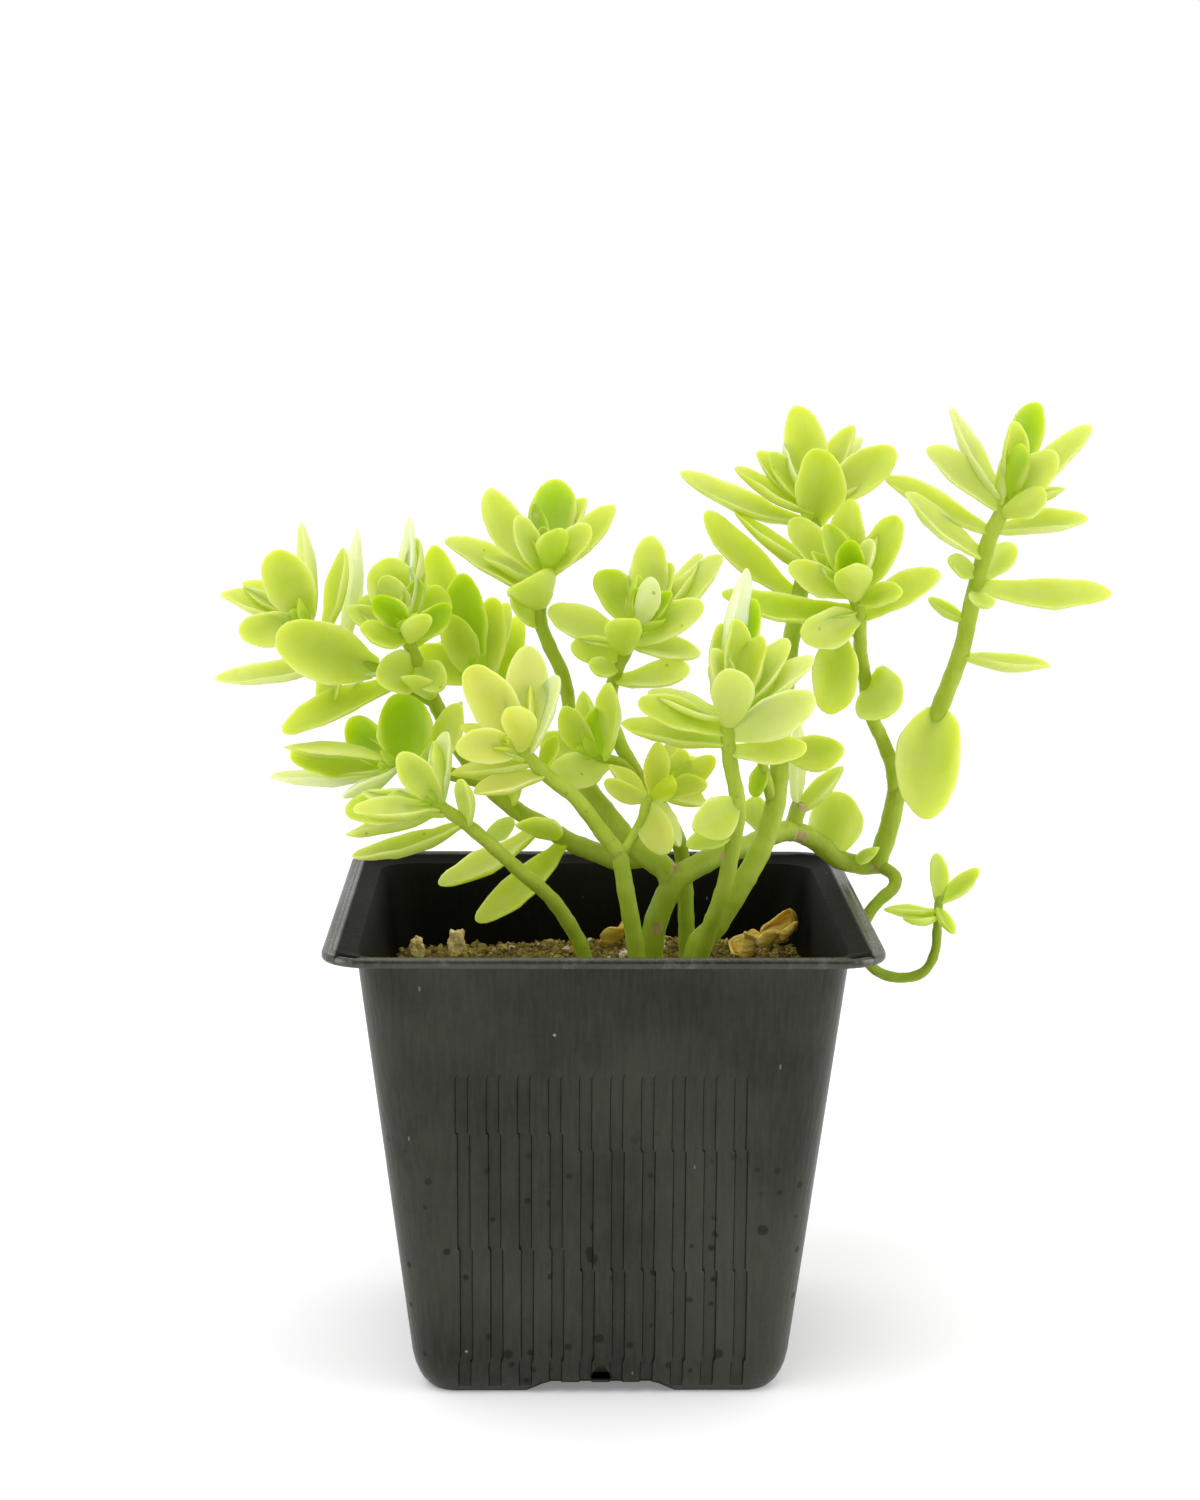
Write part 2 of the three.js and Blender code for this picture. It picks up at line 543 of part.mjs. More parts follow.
function quarterTurned(points, side) {
  const axis = new THREE.Vector3(0, 0, 1);
  return points.map((p) => p.clone().applyAxisAngle(axis, side * (Math.PI / 2)));
}

function middle(points) {
  const sum = points.reduce((total, p) => total.add(p), new THREE.Vector3());
  return sum.divideScalar(points.length);
}

// A block between two outlines with the same number of corners, turned to one of the four sides.
function block(near, far, side) {
  const rings = [quarterTurned(near, side), quarterTurned(far, side)];
  return ringSolid(rings, middle(rings[0]), middle(rings[1]));
}

// One flute follows the wall's slope and is sunk into it.
function flute(across, side) {
  const level = (z) => {
    const deep = -(wallHalf(z) - FLUTE_DEPTH);
    const proud = -(wallHalf(z) + BEYOND);
    const half = FLUTE_WIDTH / 2;
    return [[-half, deep], [half, deep], [half, proud], [-half, proud]]
      .map(([x, y]) => new THREE.Vector3(across + x, y, z));
  };
  return block(level(FLUTE_FOOT), level(FLUTE_TOP), side);
}

function flutes(side) {
  const cuts = [];
  for (let i = 0; i < FLUTES; i += 1) {
    const across = (i - (FLUTES - 1) / 2) * FLUTE_PITCH;
    cuts.push(flute(across, side));
  }
  return fuse(cuts);
}

// A bar with an upright outline, from one depth to another, across the pot.
function bar(outline, from, to, side) {
  const face = (y) => outline.map(([x, z]) => new THREE.Vector3(x, y, z));
  return block(face(from), face(to), side);
}

function archCut(side) {
  const slope = (ARCH_HALF - ARCH_TOP_HALF) / ARCH_RISE;
  const outline = [
    [-ARCH_HALF - slope, -BEYOND],
    [ARCH_HALF + slope, -BEYOND],
    [ARCH_TOP_HALF, ARCH_RISE],
    [-ARCH_TOP_HALF, ARCH_RISE],
  ];
  return bar(outline, -RIM_HALF, RIM_HALF, side);
}

function heelHole(side) {
  const half = HEEL_HOLE.width / 2;
  const outline = [
    [-half, HEEL_HOLE.foot],
    [half, HEEL_HOLE.foot],
    [half, HEEL_HOLE.top],
    [-half, HEEL_HOLE.top],
  ];
  return bar(outline, -RIM_HALF, -HEEL_HOLE.reach, side);
}

function post(x, y, radius, from, to, sides) {
  const geometry = new THREE.CylinderGeometry(radius, radius, to - from, sides);
  geometry.rotateX(Math.PI / 2);
  geometry.translate(x, y, (from + to) / 2);
  return fromGeometry(geometry);
}

function fromGeometry(geometry) {
  geometry.deleteAttribute("normal");
  geometry.deleteAttribute("uv");
  const merged = mergeVertices(geometry, 1e-4);
  const vertProperties = new Float32Array(merged.attributes.position.array);
  const triVerts = new Uint32Array(merged.index.array);
  return new wasm.Manifold(new wasm.Mesh({ numProp: 3, vertProperties, triVerts }));
}

function potBody() {
  let pot = potOutside().subtract(potInside());
  for (let side = 0; side < 4; side += 1) {
    pot = pot.subtract(flutes(side)).subtract(heelHole(side));
  }
  pot = pot.subtract(archCut(0)).subtract(archCut(1));
  const { radius, reach, sides } = FLOOR_HOLES;
  for (const [x, y] of [[0, 0], [reach, reach], [-reach, reach], [-reach, -reach], [reach, -reach]]) {
    pot = pot.subtract(post(x, y, radius, -BEYOND, FLOOR_Z + BEYOND, sides));
  }
  return wholeBody(pot);
}

// Soil: fills the pot, with a crumbly top that rises a little towards the walls.
function soilHalf(z) {
  return wallHalf(z) - WALL_THICK - GAP;
}

function soilTop(share, x, y) {
  const crumbs = Math.sin(x * 0.55 + y * 0.21) * Math.cos(y * 0.47 - x * 0.13);
  const grain = hash(Math.round(x * 3), Math.round(y * 3)) - 0.5;
  const { x: midX, y: midY, rise, spread } = SOIL_MOUND;
  const mound = rise * Math.exp(-((x - midX) ** 2 + (y - midY) ** 2) / (2 * spread ** 2));
  return SOIL_TOP + mound + SOIL_RELIEF * (0.45 * crumbs + grain * (share > 0.95 ? 0 : 1));
}

function soilBody(roots) {
  const foot = FLOOR_Z + GAP;
  const corner = WALL_CORNER - WALL_THICK;
  const rings = [
    roundedSquare(soilHalf(foot) - 1.2, corner - 1, foot),
    roundedSquare(soilHalf(WALL_FOOT_Z), corner, WALL_FOOT_Z),
  ];
  const edge = roundedSquare(soilHalf(SOIL_TOP), corner, 0);
  for (const share of SOIL_RINGS) {
    rings.push(edge.map((p) => {
      const x = p.x * share;
      const y = p.y * share;
      return new THREE.Vector3(x, y, soilTop(share, x, y));
    }));
  }
  let soil = ringSolid(rings, new THREE.Vector3(0, 0, foot), new THREE.Vector3(0, 0, soilTop(0, 0, 0)));
  for (const root of roots) {
    soil = soil.subtract(tube(root.points, root.radii, ROOT_SIDES));
  }
  return wholeBody(soil);
}

// Stems
function tube(points, radii, sides) {
  const rings = [];
  let across = new THREE.Vector3(1, 0, 0);
  points.forEach((point, i) => {
    const before = points[Math.max(i - 1, 0)];
    const after = points[Math.min(i + 1, points.length - 1)];
    const along = after.clone().sub(before).normalize();
    across = across.clone().addScaledVector(along, -across.dot(along)).normalize();
    const third = along.clone().cross(across);
    rings.push(Array.from({ length: sides }, (_, k) => {
      const angle = (k / sides) * Math.PI * 2;
      return point.clone()
        .addScaledVector(across, radii[i] * Math.cos(angle))
        .addScaledVector(third, radii[i] * Math.sin(angle));
    }));
  });
  return ringSolid(rings, points[0], points[points.length - 1]);
}

function branchRadii(branch, count, extra = 0) {
  const [thick, thin] = branch.radius;
  return Array.from({ length: count }, (_, i) => thick + (thin - thick) * (i / (count - 1)) + extra);
}

// The nearest place on a branch's line to a sighted place, and the way the branch grows there.
function footOn(branch, across, up) {
  let best = null;
  for (let i = 0; i + 1 < branch.line.length; i += 1) {
    const [a0, u0, d0] = branch.line[i];
    const [a1, u1, d1] = branch.line[i + 1];
    const run = (a1 - a0) ** 2 + (u1 - u0) ** 2;
    const share = Math.min(1, Math.max(0, ((across - a0) * (a1 - a0) + (up - u0) * (u1 - u0)) / run));
    const place = [a0 + share * (a1 - a0), u0 + share * (u1 - u0), d0 + share * (d1 - d0)];
    const gap = Math.hypot(across - place[0], up - place[1]);
    if (best === null || gap < best.gap) {
      const grows = placed(branch.line[i + 1]).sub(placed(branch.line[i])).normalize();
      best = { gap, place, grows };
    }
  }
  return best;
}

// Leaves: a leaf is turned about its own midrib until it shows the width that it is seen with. Of the two ways
// to do so, it takes the one that turns its upper face to the growing tip of its branch and to the viewer.
function leafFrame(foot, tip, grows, seenWidth) {
  const along = tip.clone().sub(foot);
  const length = along.length();
  along.normalize();
  const sight = foot.clone().sub(VIEWPOINT).normalize();
  const across = along.clone().cross(sight).normalize();
  const deep = across.clone().cross(along);
  const width = Math.max(seenWidth, Math.min(TRUE_WIDTH * length, WIDEST_LEAF));
  const roll = Math.acos(Math.min(1, seenWidth / width));
  const bowed = grows.clone().addScaledVector(TO_VIEWPOINT, BOW).normalize();
  const wanted = bowed.clone().addScaledVector(along, -bowed.dot(along));
  let best = null;
  for (const turn of [roll, -roll]) {
    const side = across.clone().multiplyScalar(Math.cos(turn)).addScaledVector(deep, Math.sin(turn));
    const face = side.clone().cross(along);
    const match = face.dot(wanted);
    if (best === null || Math.abs(match) > best.match) {
      best = { match: Math.abs(match), side, face: face.multiplyScalar(match < 0 ? -1 : 1) };
    }
  }
  return { foot, along, length, width, side: best.side, face: best.face };
}

function leafBody(leaf) {
  const slender = leaf.length < SHORT_LENGTH ? SHORT_LEAF : LONG_LEAF;
  const outline = { [OVAL]: OVAL_LEAF, [FULL]: FULL_LEAF }[leaf.form] ?? slender;
  const rings = outline.map(([share, broad]) => {
    const sag = -LEAF_CURVE * leaf.length * Math.sin(Math.PI * share);
    const centre = leaf.foot.clone()
      .addScaledVector(leaf.along, leaf.length * share)
      .addScaledVector(leaf.face, sag);
    const half = (leaf.width / 2) * broad;
    const thick = LEAF_THICK * (LEAF_EDGE + (1 - LEAF_EDGE) * broad);
    return [[half, LEAF_FLAT], [-half, LEAF_FLAT], [0, LEAF_FLAT - 1]].map(([out, lift]) => (
      centre.clone().addScaledVector(leaf.side, out).addScaledVector(leaf.face, lift * thick)
    ));
  });
  const tip = leaf.foot.clone().addScaledVector(leaf.along, leaf.length);
  return ringSolid(rings, leaf.foot, tip);
}

function rowLeaf(branch, row) {
  const [footAcross, footUp, tipAcross, tipUp, lean, width, form] = row;
  const foot = footOn(branch, footAcross, footUp);
  const tip = [tipAcross, tipUp, foot.place[2] + lean * LEAN_SHARE];
  const root = placed(foot.place).addScaledVector(foot.grows, -SUNK);
  return { ...leafFrame(root, placed(tip), foot.grows, width), form };
}

// Crown leaves stand on the far side of a branch's end, spread round it, where the sighting doesn't reach.
function crownLeaves(branch) {
  const end = branch.line.length - 1;
  const top = placed(branch.line[end]);
  const grows = top.clone().sub(placed(branch.line[end - 1])).normalize();
  const back = new THREE.Vector3(0, 1, 0).addScaledVector(grows, -grows.y).normalize();
  const aside = grows.clone().cross(back);
  const count = branch.crown ?? 0;
  return Array.from({ length: count }, (_, k) => {
    const round = (k - (count - 1) / 2) * CROWN_SPREAD;
    const tilt = CROWN_TILTS[k % CROWN_TILTS.length];
    const out = back.clone().multiplyScalar(Math.cos(round)).addScaledVector(aside, Math.sin(round));
    const way = grows.clone().multiplyScalar(Math.cos(tilt)).addScaledVector(out, Math.sin(tilt));
    const foot = top.clone().addScaledVector(grows, -SUNK - CROWN_STEP * k);
    const side = way.clone().cross(out).normalize();
    const face = side.clone().cross(way);
    if (face.dot(grows) < 0) {
      face.negate();
    }
    return { foot, along: way, length: CROWN_LENGTH, width: CROWN_WIDTH, side, face };
  });
}

function shootLeaves(shoot) {
  return shoot.branches.flatMap((branch) => [
    ...branch.leaves.map((row) => rowLeaf(branch, row)),
    ...crownLeaves(branch),
  ]);
}

function shootBody(shoot) {
  const stems = shoot.branches.map((branch) => {
    const points = branch.line.map(placed);
    return tube(points, branchRadii(branch, points.length), STEM_SIDES);
  });
  return wholeBody(fuse([...stems, ...shootLeaves(shoot).map(leafBody)]));
}

// The holes that the soil has for the stems: the buried stretch of each rooted branch, a gap wider.
function rootHoles() {
  const rooted = SHOOTS.flatMap((shoot) => shoot.branches).filter((branch) => branch.line[0][1] < SOIL_TOP);
  return rooted.map((branch) => {
    const points = branch.line.slice(0, 3).map(placed);
    points[0].addScaledVector(points[1].clone().sub(points[0]).normalize(), -GAP);
    return { points, radii: branchRadii(branch, branch.line.length, GAP + 0.1).slice(0, 3) };
  });
}

// Litter
function dryLeafBody(spec, lift = 0) {
  const rings = [];
  const turn = new THREE.Matrix4().makeRotationFromEuler(new THREE.Euler(spec.pitch, 0, spec.yaw, "ZYX"));
  const at = placed(spec.at);
  at.z += lift;
  for (let i = 0; i < DRY_STEPS; i += 1) {
    const along = ((i + 0.5) / DRY_STEPS - 0.5) * spec.length;
    const broad = Math.sin(Math.PI * ((i + 0.7) / (DRY_STEPS + 0.4)));
    const ragged = 0.75 + 0.5 * hash(i, spec.length);
    const ring = [];
    for (const skin of [DRY_THICK / 2, -DRY_THICK / 2]) {
      for (const share of skin > 0 ? DRY_ACROSS : [...DRY_ACROSS].reverse()) {
        const radius = spec.width / spec.curl + skin;
        const angle = share * (spec.curl / 2) * broad * ragged;
        const rise = spec.width / spec.curl - radius * Math.cos(angle);
        ring.push(new THREE.Vector3(along, radius * Math.sin(angle), rise).applyMatrix4(turn).add(at));
      }
    }
    rings.push(ring);
  }
  return ringSolid(rings, middle(rings[0]), middle(rings[DRY_STEPS - 1]));
}

function chipBody(spec, lift = 0) {
  const geometry = new THREE.IcosahedronGeometry(CHIP_RADIUS, 0);
  const places = geometry.attributes.position;
  for (let i = 0; i < places.count; i += 1) {
    const corner = new THREE.Vector3().fromBufferAttribute(places, i);
    const rough = 0.85 + 0.3 * hash(Math.round(corner.x * 50) + spec.seed, Math.round(corner.z * 50));
    corner.multiply(new THREE.Vector3(...spec.size)).multiplyScalar(rough);
    places.setXYZ(i, corner.x, corner.y, corner.z);
  }
  const at = placed(spec.at);
  geometry.translate(at.x, at.y, at.z + lift);
  return fromGeometry(geometry);
}

// Sets a loose thing down: it is lowered until it would touch the ground, and then lifted by the gap.
function setDown(make, ground) {
  let lift = SET_FROM;
  while (lift > -SET_FROM && make(lift).intersect(ground).isEmpty()) {
    lift -= SET_STEP;
  }
  return make(lift + SET_STEP + GAP);
}

function node(name, body, color, roughness) {
  const { positions, faces } = withoutShortEdges(body);
  const geometry = new THREE.BufferGeometry();
  geometry.setAttribute("position", new THREE.BufferAttribute(positions, 3));
  geometry.setIndex(faces.flat());
  geometry.computeVertexNormals();
  const material = new THREE.MeshStandardMaterial({ color, roughness, metalness: 0, flatShading: true });
  const mesh = new THREE.Mesh(geometry, material);
  mesh.name = name;
  return mesh;
}

const soil = soilBody(rootHoles());
const group = new THREE.Group();
group.add(node("pot", potBody(), 0x35352f, 0.45));
group.add(node("soil", soil, 0x4a3423, 0.95));
for (const shoot of SHOOTS) {
  group.add(node(shoot.name, shootBody(shoot), shoot.color, 0.5));
}
for (const spec of DRY_LEAVES) {
  group.add(node(spec.name, setDown((lift) => dryLeafBody(spec, lift), soil), spec.color, 0.9));
}
for (const spec of CHIPS) {
  group.add(node(spec.name, setDown((lift) => chipBody(spec, lift), soil), spec.color, 0.9));
}

const box = new THREE.Box3().setFromObject(group);
group.position.set(-(box.min.x + box.max.x) / 2, -(box.min.y + box.max.y) / 2, -box.min.z);

export default group;
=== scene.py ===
# %% [markdown]
# # A stonecrop in its nursery pot
#
# The real thing is a small leafy plant with fleshy yellow-green leaves on bent stems.
# It stands in a square black pot of thin moulded plastic, filled with crumbly soil.
#
# A plain solid model of every part is loaded first, as the frame. Each piece made below
# takes the place of one of its parts and keeps that part's form, with finer shapes and a
# finish. The file runs from top to bottom, and each cell can be read on its own.

import math

import bmesh
import bpy
import numpy as np
from mathutils import Matrix, Vector, noise


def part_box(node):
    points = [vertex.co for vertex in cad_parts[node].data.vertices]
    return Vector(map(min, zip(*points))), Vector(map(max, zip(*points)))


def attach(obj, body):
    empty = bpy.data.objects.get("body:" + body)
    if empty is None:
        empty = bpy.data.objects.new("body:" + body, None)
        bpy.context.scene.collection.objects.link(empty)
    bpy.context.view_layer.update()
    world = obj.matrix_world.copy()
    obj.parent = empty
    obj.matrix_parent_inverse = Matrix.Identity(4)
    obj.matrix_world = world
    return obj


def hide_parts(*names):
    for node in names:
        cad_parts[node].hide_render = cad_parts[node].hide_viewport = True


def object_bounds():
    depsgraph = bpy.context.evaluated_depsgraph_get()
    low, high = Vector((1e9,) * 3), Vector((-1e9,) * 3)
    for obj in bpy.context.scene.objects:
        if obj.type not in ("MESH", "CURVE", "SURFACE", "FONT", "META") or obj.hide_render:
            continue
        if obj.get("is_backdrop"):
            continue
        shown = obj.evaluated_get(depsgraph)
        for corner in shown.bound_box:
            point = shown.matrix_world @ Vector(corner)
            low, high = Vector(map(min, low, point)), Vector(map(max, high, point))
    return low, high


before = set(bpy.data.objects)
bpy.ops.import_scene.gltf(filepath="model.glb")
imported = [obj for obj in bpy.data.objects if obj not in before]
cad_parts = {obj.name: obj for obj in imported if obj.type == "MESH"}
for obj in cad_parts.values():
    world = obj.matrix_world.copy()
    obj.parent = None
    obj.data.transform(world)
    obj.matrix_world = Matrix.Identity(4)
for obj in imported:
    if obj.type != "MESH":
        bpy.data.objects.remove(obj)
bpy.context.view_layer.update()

# %% [markdown]
# ## Where things are
#
# All sizes are written in millimetres, as a maker would measure them, and turned into
# metres at the last moment. The pot's middle is the origin of the measurements.

# %% Millimetres and the pot's middle
MM = 0.001
pot_low, pot_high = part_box("pot")
POT_MIDDLE = np.array([(pot_low[0] + pot_high[0]) / 2, (pot_low[1] + pot_high[1]) / 2, 0.0])
print("middle of the pot, mm:", np.round(POT_MIDDLE / MM, 2))

# %% [markdown]
# ## The camera
#
# A camera can be moved about until the picture looks right, but it is surer to work its
# place out from an upright object of known shape. The square rim and the pot's foot gave
# the distance, the height and the slight turn below.

# %% Set up the camera
LENS = 70.03
VIEW_DISTANCE = 497.68
VIEW_RISE = math.radians(9.008)
VIEW_TURN = math.radians(-1.115)
VIEW_ROLL = math.radians(0.307)
VIEW_TARGET = np.array([-0.1, 0.0, 103.45])
SENSOR_WIDTH = 36


def studio_camera():
    back = Vector((
        math.sin(VIEW_TURN) * math.cos(VIEW_RISE),
        -math.cos(VIEW_TURN) * math.cos(VIEW_RISE),
        math.sin(VIEW_RISE),
    ))
    level = (-back).cross(Vector((0, 0, 1))).normalized()
    upright = level.cross(-back)
    right = level * math.cos(VIEW_ROLL) + upright * math.sin(VIEW_ROLL)
    up = upright * math.cos(VIEW_ROLL) - level * math.sin(VIEW_ROLL)
    turn = Matrix((right, up, back)).transposed().to_4x4()
    place = Vector(VIEW_TARGET * MM + POT_MIDDLE) + back * (VIEW_DISTANCE * MM)
    camera = bpy.data.objects.new("camera", bpy.data.cameras.new("camera"))
    camera.data.lens = LENS
    camera.data.sensor_width = SENSOR_WIDTH
    camera.data.clip_start = 0.01
    camera.matrix_world = Matrix.Translation(place) @ turn
    bpy.context.collection.objects.link(camera)
    return camera


bpy.context.scene.camera = studio_camera()
print("camera at, mm:", [round(c / MM, 1) for c in bpy.context.scene.camera.location])

# %% [markdown]
# ## Floor and light
#
# The plant stands in a white tent: light comes from the top, the sides and the back, and
# less from the front, where the camera's opening is. That is why the pot's front is dark
# and its edges are light. The world gives this tent light. Two big soft lamps add shine
# and a little direction, and two more give only shine, to draw out the pot's sides. A
# pale floor catches the pot's soft shadow, and glows a little, so that it stays white.

# %% Lay the floor and hang the lamps
FLOOR_SIDE = 6.0
FLOOR_WHITE = 0.9
FLOOR_GLOW = 0.2
TENT_LIGHT = 1.0
OPENING_LIGHT = 0.3
OPENING_ENDS, TENT_STARTS = -0.95, -0.25
LAMPS = [
    ("lamp_above", (-0.3, -0.45, 1.0), 0.9, 4.5),
    ("lamp_right", (0.9, -0.3, 0.45), 0.6, 2.0),
]
SHINES = [
    ("shine_left", (-0.75, -0.2, 0.16), 0.4, 1.6),
    ("shine_right", (0.75, -0.1, 0.16), 0.4, 1.2),
]


def pale_floor():
    half = FLOOR_SIDE / 2
    corners = [(-half, -half, 0), (half, -half, 0), (half, half, 0), (-half, half, 0)]
    mesh = bpy.data.meshes.new("floor")
    mesh.from_pydata(corners, [], [(0, 1, 2, 3)])
    floor = bpy.data.objects.new("floor", mesh)
    bpy.context.collection.objects.link(floor)
    paint = bpy.data.materials.new("pale_floor")
    paint.use_nodes = True
    sockets = paint.node_tree.nodes["Principled BSDF"].inputs
    sockets["Base Color"].default_value = (FLOOR_WHITE, FLOOR_WHITE, FLOOR_WHITE, 1)
    sockets["Roughness"].default_value = 0.8
    sockets["Emission Color"].default_value = (1, 1, 1, 1)
    sockets["Emission Strength"].default_value = FLOOR_GLOW
    mesh.materials.append(paint)
    return floor


def soft_lamp(name, place, side, power):
    lamp = bpy.data.lights.new(name, "AREA")
    lamp.size = side
    lamp.energy = power
    lamp_object = bpy.data.objects.new(name, lamp)
    lamp_object.location = place
    lamp_object.rotation_euler = (-Vector(place)).to_track_quat("-Z", "Y").to_euler()
    bpy.context.collection.objects.link(lamp_object)
    return lamp_object


def tent_world():
    """A world that is bright all round and darker towards the camera, which looks along y."""
    world = bpy.data.worlds.new("white_tent")
    world.use_nodes = True
    nodes, links = world.node_tree.nodes, world.node_tree.links
    way = nodes.new("ShaderNodeSeparateXYZ")
    links.new(nodes.new("ShaderNodeTexCoord").outputs["Generated"], way.inputs[0])
    fade = nodes.new("ShaderNodeMapRange")
    fade.interpolation_type = "SMOOTHSTEP"
    for name, value in (("From Min", OPENING_ENDS), ("From Max", TENT_STARTS),
                        ("To Min", OPENING_LIGHT), ("To Max", TENT_LIGHT)):
        fade.inputs[name].default_value = value
    links.new(way.outputs["Y"], fade.inputs["Value"])
    links.new(fade.outputs["Result"], nodes["Background"].inputs["Strength"])
    nodes["Background"].inputs["Color"].default_value = (1, 1, 1, 1)
    return world


pale_floor()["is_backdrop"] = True
bpy.context.scene.world = tent_world()
bpy.context.scene.view_settings.view_transform = "Standard"
for lamp in LAMPS:
    soft_lamp(*lamp)
for lamp in SHINES:
    soft_lamp(*lamp).visible_diffuse = False
print("lamps:", [lamp[0] for lamp in LAMPS + SHINES])


# %% [markdown]
# ## Sums with nodes
#
# Geometry Nodes and shader nodes do their sums with Math nodes, which are slow to read in
# a script. `Wire` stands for the output of a node and can be added and multiplied like a
# number, and each sum lays the right node on the bench. `Bench` is one tree of nodes.

# %% A bench to lay nodes on
def open_socket(sockets, name):
    """The socket of that name that is in use: some nodes keep one for each kind of value."""
    return next(s for s in sockets if s.enabled and s.name == name)


def is_arrow(value):
    """Tells three numbers in one, such as a place or a colour, from a single number."""
    return isinstance(value, tuple) or isinstance(value, Wire) and value.socket.type in ("VECTOR", "RGBA")


class Wire:
    def __init__(self, bench, socket):
        self.bench = bench
        self.socket = socket

    def __add__(self, other):
        return self.bench.maths("ADD", self, other)

    def __sub__(self, other):
        return self.bench.maths("SUBTRACT", self, other)

    def __rsub__(self, other):
        return self.bench.maths("SUBTRACT", other, self)

    def __mul__(self, other):
        return self.bench.maths("MULTIPLY", self, other)

    __radd__ = __add__
    __rmul__ = __mul__


class Bench:
    def __init__(self, tree):
        self.tree = tree

    def lay(self, kind, inputs=None, **settings):
        node = self.tree.nodes.new(kind)
        for name, value in settings.items():
            setattr(node, name, value)
        for name, value in (inputs or {}).items():
            socket = node.inputs[name] if isinstance(name, int) else open_socket(node.inputs, name)
            self.join(value, socket)
        return node

    def join(self, value, socket):
        if isinstance(value, Wire):
            self.tree.links.new(value.socket, socket)
        else:
            socket.default_value = value

    def out(self, node, name):
        return Wire(self, open_socket(node.outputs, name))

    def made(self, kind, result, inputs=None, **settings):
        """Lays a node and gives the wire of one of its results."""
        return self.out(self.lay(kind, inputs, **settings), result)

    def kept(self, geometry, name, value, kind, domain="POINT"):
        """Keeps a value on a geometry's points, or on its instances, under a name."""
        return self.made("GeometryNodeStoreNamedAttribute", "Geometry", {
            "Geometry": geometry, "Name": name, "Value": value}, data_type=kind, domain=domain)

    def read(self, name, kind):
        """What was kept under that name."""
        return self.made("GeometryNodeInputNamedAttribute", "Attribute", {"Name": name}, data_type=kind)

    def maths(self, operation, *values):
        arrows = [is_arrow(value) for value in values]
        if not any(arrows):
            return self.made("ShaderNodeMath", "Value", dict(enumerate(values)), operation=operation)
        if operation == "MULTIPLY" and not all(arrows):
            arrow, number = values if arrows[0] else values[::-1]
            return self.made("ShaderNodeVectorMath", "Vector", {0: arrow, "Scale": number}, operation="SCALE")
        return self.made("ShaderNodeVectorMath", "Vector", dict(enumerate(values)), operation=operation)

    def parts(self, arrow):
        node = self.lay("ShaderNodeSeparateXYZ", {0: arrow})
        return [Wire(self, socket) for socket in node.outputs]

    def ramp(self, value, low, high, start=0.0, end=1.0):
        """Goes softly from start to end while the value goes from low to high."""
        return self.made("ShaderNodeMapRange", "Result", {
            "Value": value, "From Min": low, "From Max": high, "To Min": start, "To Max": end,
        }, interpolation_type="SMOOTHSTEP")

    def between(self, share, first, last):
        return self.made("ShaderNodeMix", "Result", {0: share, "A": first, "B": last}, data_type="FLOAT")

    def profile(self, value, points):
        """A curve drawn through points from 0 to 1, such as a leaf's outline."""
        node = self.lay("ShaderNodeFloatCurve", {"Value": value})
        curve = node.mapping.curves[0]
        while len(curve.points) < len(points):
            curve.points.new(0.5, 0.5)
        for point, (x, y) in zip(curve.points, points):
            point.location = (x, y)
        node.mapping.update()
        return self.out(node, "Value")


print("bench ready")

# %% [markdown]
# ## Trees that make geometry
#
# A Geometry Nodes tree is worked on a simple start, such as points where leaves go, and
# turned into a plain mesh straight away. That way the finished piece has no live modifier
# and can be checked, exported and painted like any other.

# %% Build a geometry tree and use it
SOCKET_KINDS = {int: "NodeSocketInt", float: "NodeSocketFloat", bpy.types.Material: "NodeSocketMaterial"}


def new_tree(tree_kind, name, start, result, sizes):
    """An empty tree with a start, a result and a named input for each size, and its bench."""
    tree = bpy.data.node_groups.new(name, tree_kind)
    for way, (label, kind) in (("INPUT", start), ("OUTPUT", result)):
        tree.interface.new_socket(name=label, in_out=way, socket_type=kind)
    for label, value in sizes.items():
        kind = SOCKET_KINDS[type(value)]
        tree.interface.new_socket(name=label, in_out="INPUT", socket_type=kind).default_value = value
    bench = Bench(tree)
    given = tree.nodes.new("NodeGroupInput")
    return bench, {socket.name: Wire(bench, socket) for socket in given.outputs if socket.name}


def geometry_tree(name, sizes):
    geometry = ("Geometry", "NodeSocketGeometry")
    return new_tree("GeometryNodeTree", name, geometry, geometry, sizes)


def end_tree(bench, geometry, material):
    """Every tree ends the same way: real faces, smooth shading and the finish."""
    real = bench.made("GeometryNodeRealizeInstances", "Geometry", {0: geometry})
    smooth = bench.made("GeometryNodeSetShadeSmooth", "Geometry", {"Geometry": real})
    painted = bench.made("GeometryNodeSetMaterial", "Geometry", {"Geometry": smooth, "Material": material})
    end = bench.tree.nodes.new("NodeGroupOutput")
    bench.tree.links.new(painted.socket, end.inputs["Geometry"])


def new_object(name, mesh):
    made = bpy.data.objects.new(name, mesh)
    bpy.context.collection.objects.link(made)
    return made


def as_plain_mesh(made):
    """Works an object's modifiers out once and leaves it with the resulting mesh alone."""
    depsgraph = bpy.context.evaluated_depsgraph_get()
    mesh = bpy.data.meshes.new_from_object(
        made.evaluated_get(depsgraph), preserve_all_data_layers=True, depsgraph=depsgraph
    )
    made.modifiers.clear()
    made.data = mesh
    mesh.name = made.name
    return made


def worked(name, start, bench, **sizes):
    """The piece that a tree makes of a start mesh. Sizes are named as the tree's inputs are."""
    made = new_object(name, start)
    modifier = made.modifiers.new("work", "NODES")
    modifier.node_group = bench.tree
    for item in bench.tree.interface.items_tree:
        key = item.name.replace(" ", "_").lower()
        if item.in_out == "INPUT" and key in sizes:
            modifier[item.identifier] = sizes[key]
    return as_plain_mesh(made)


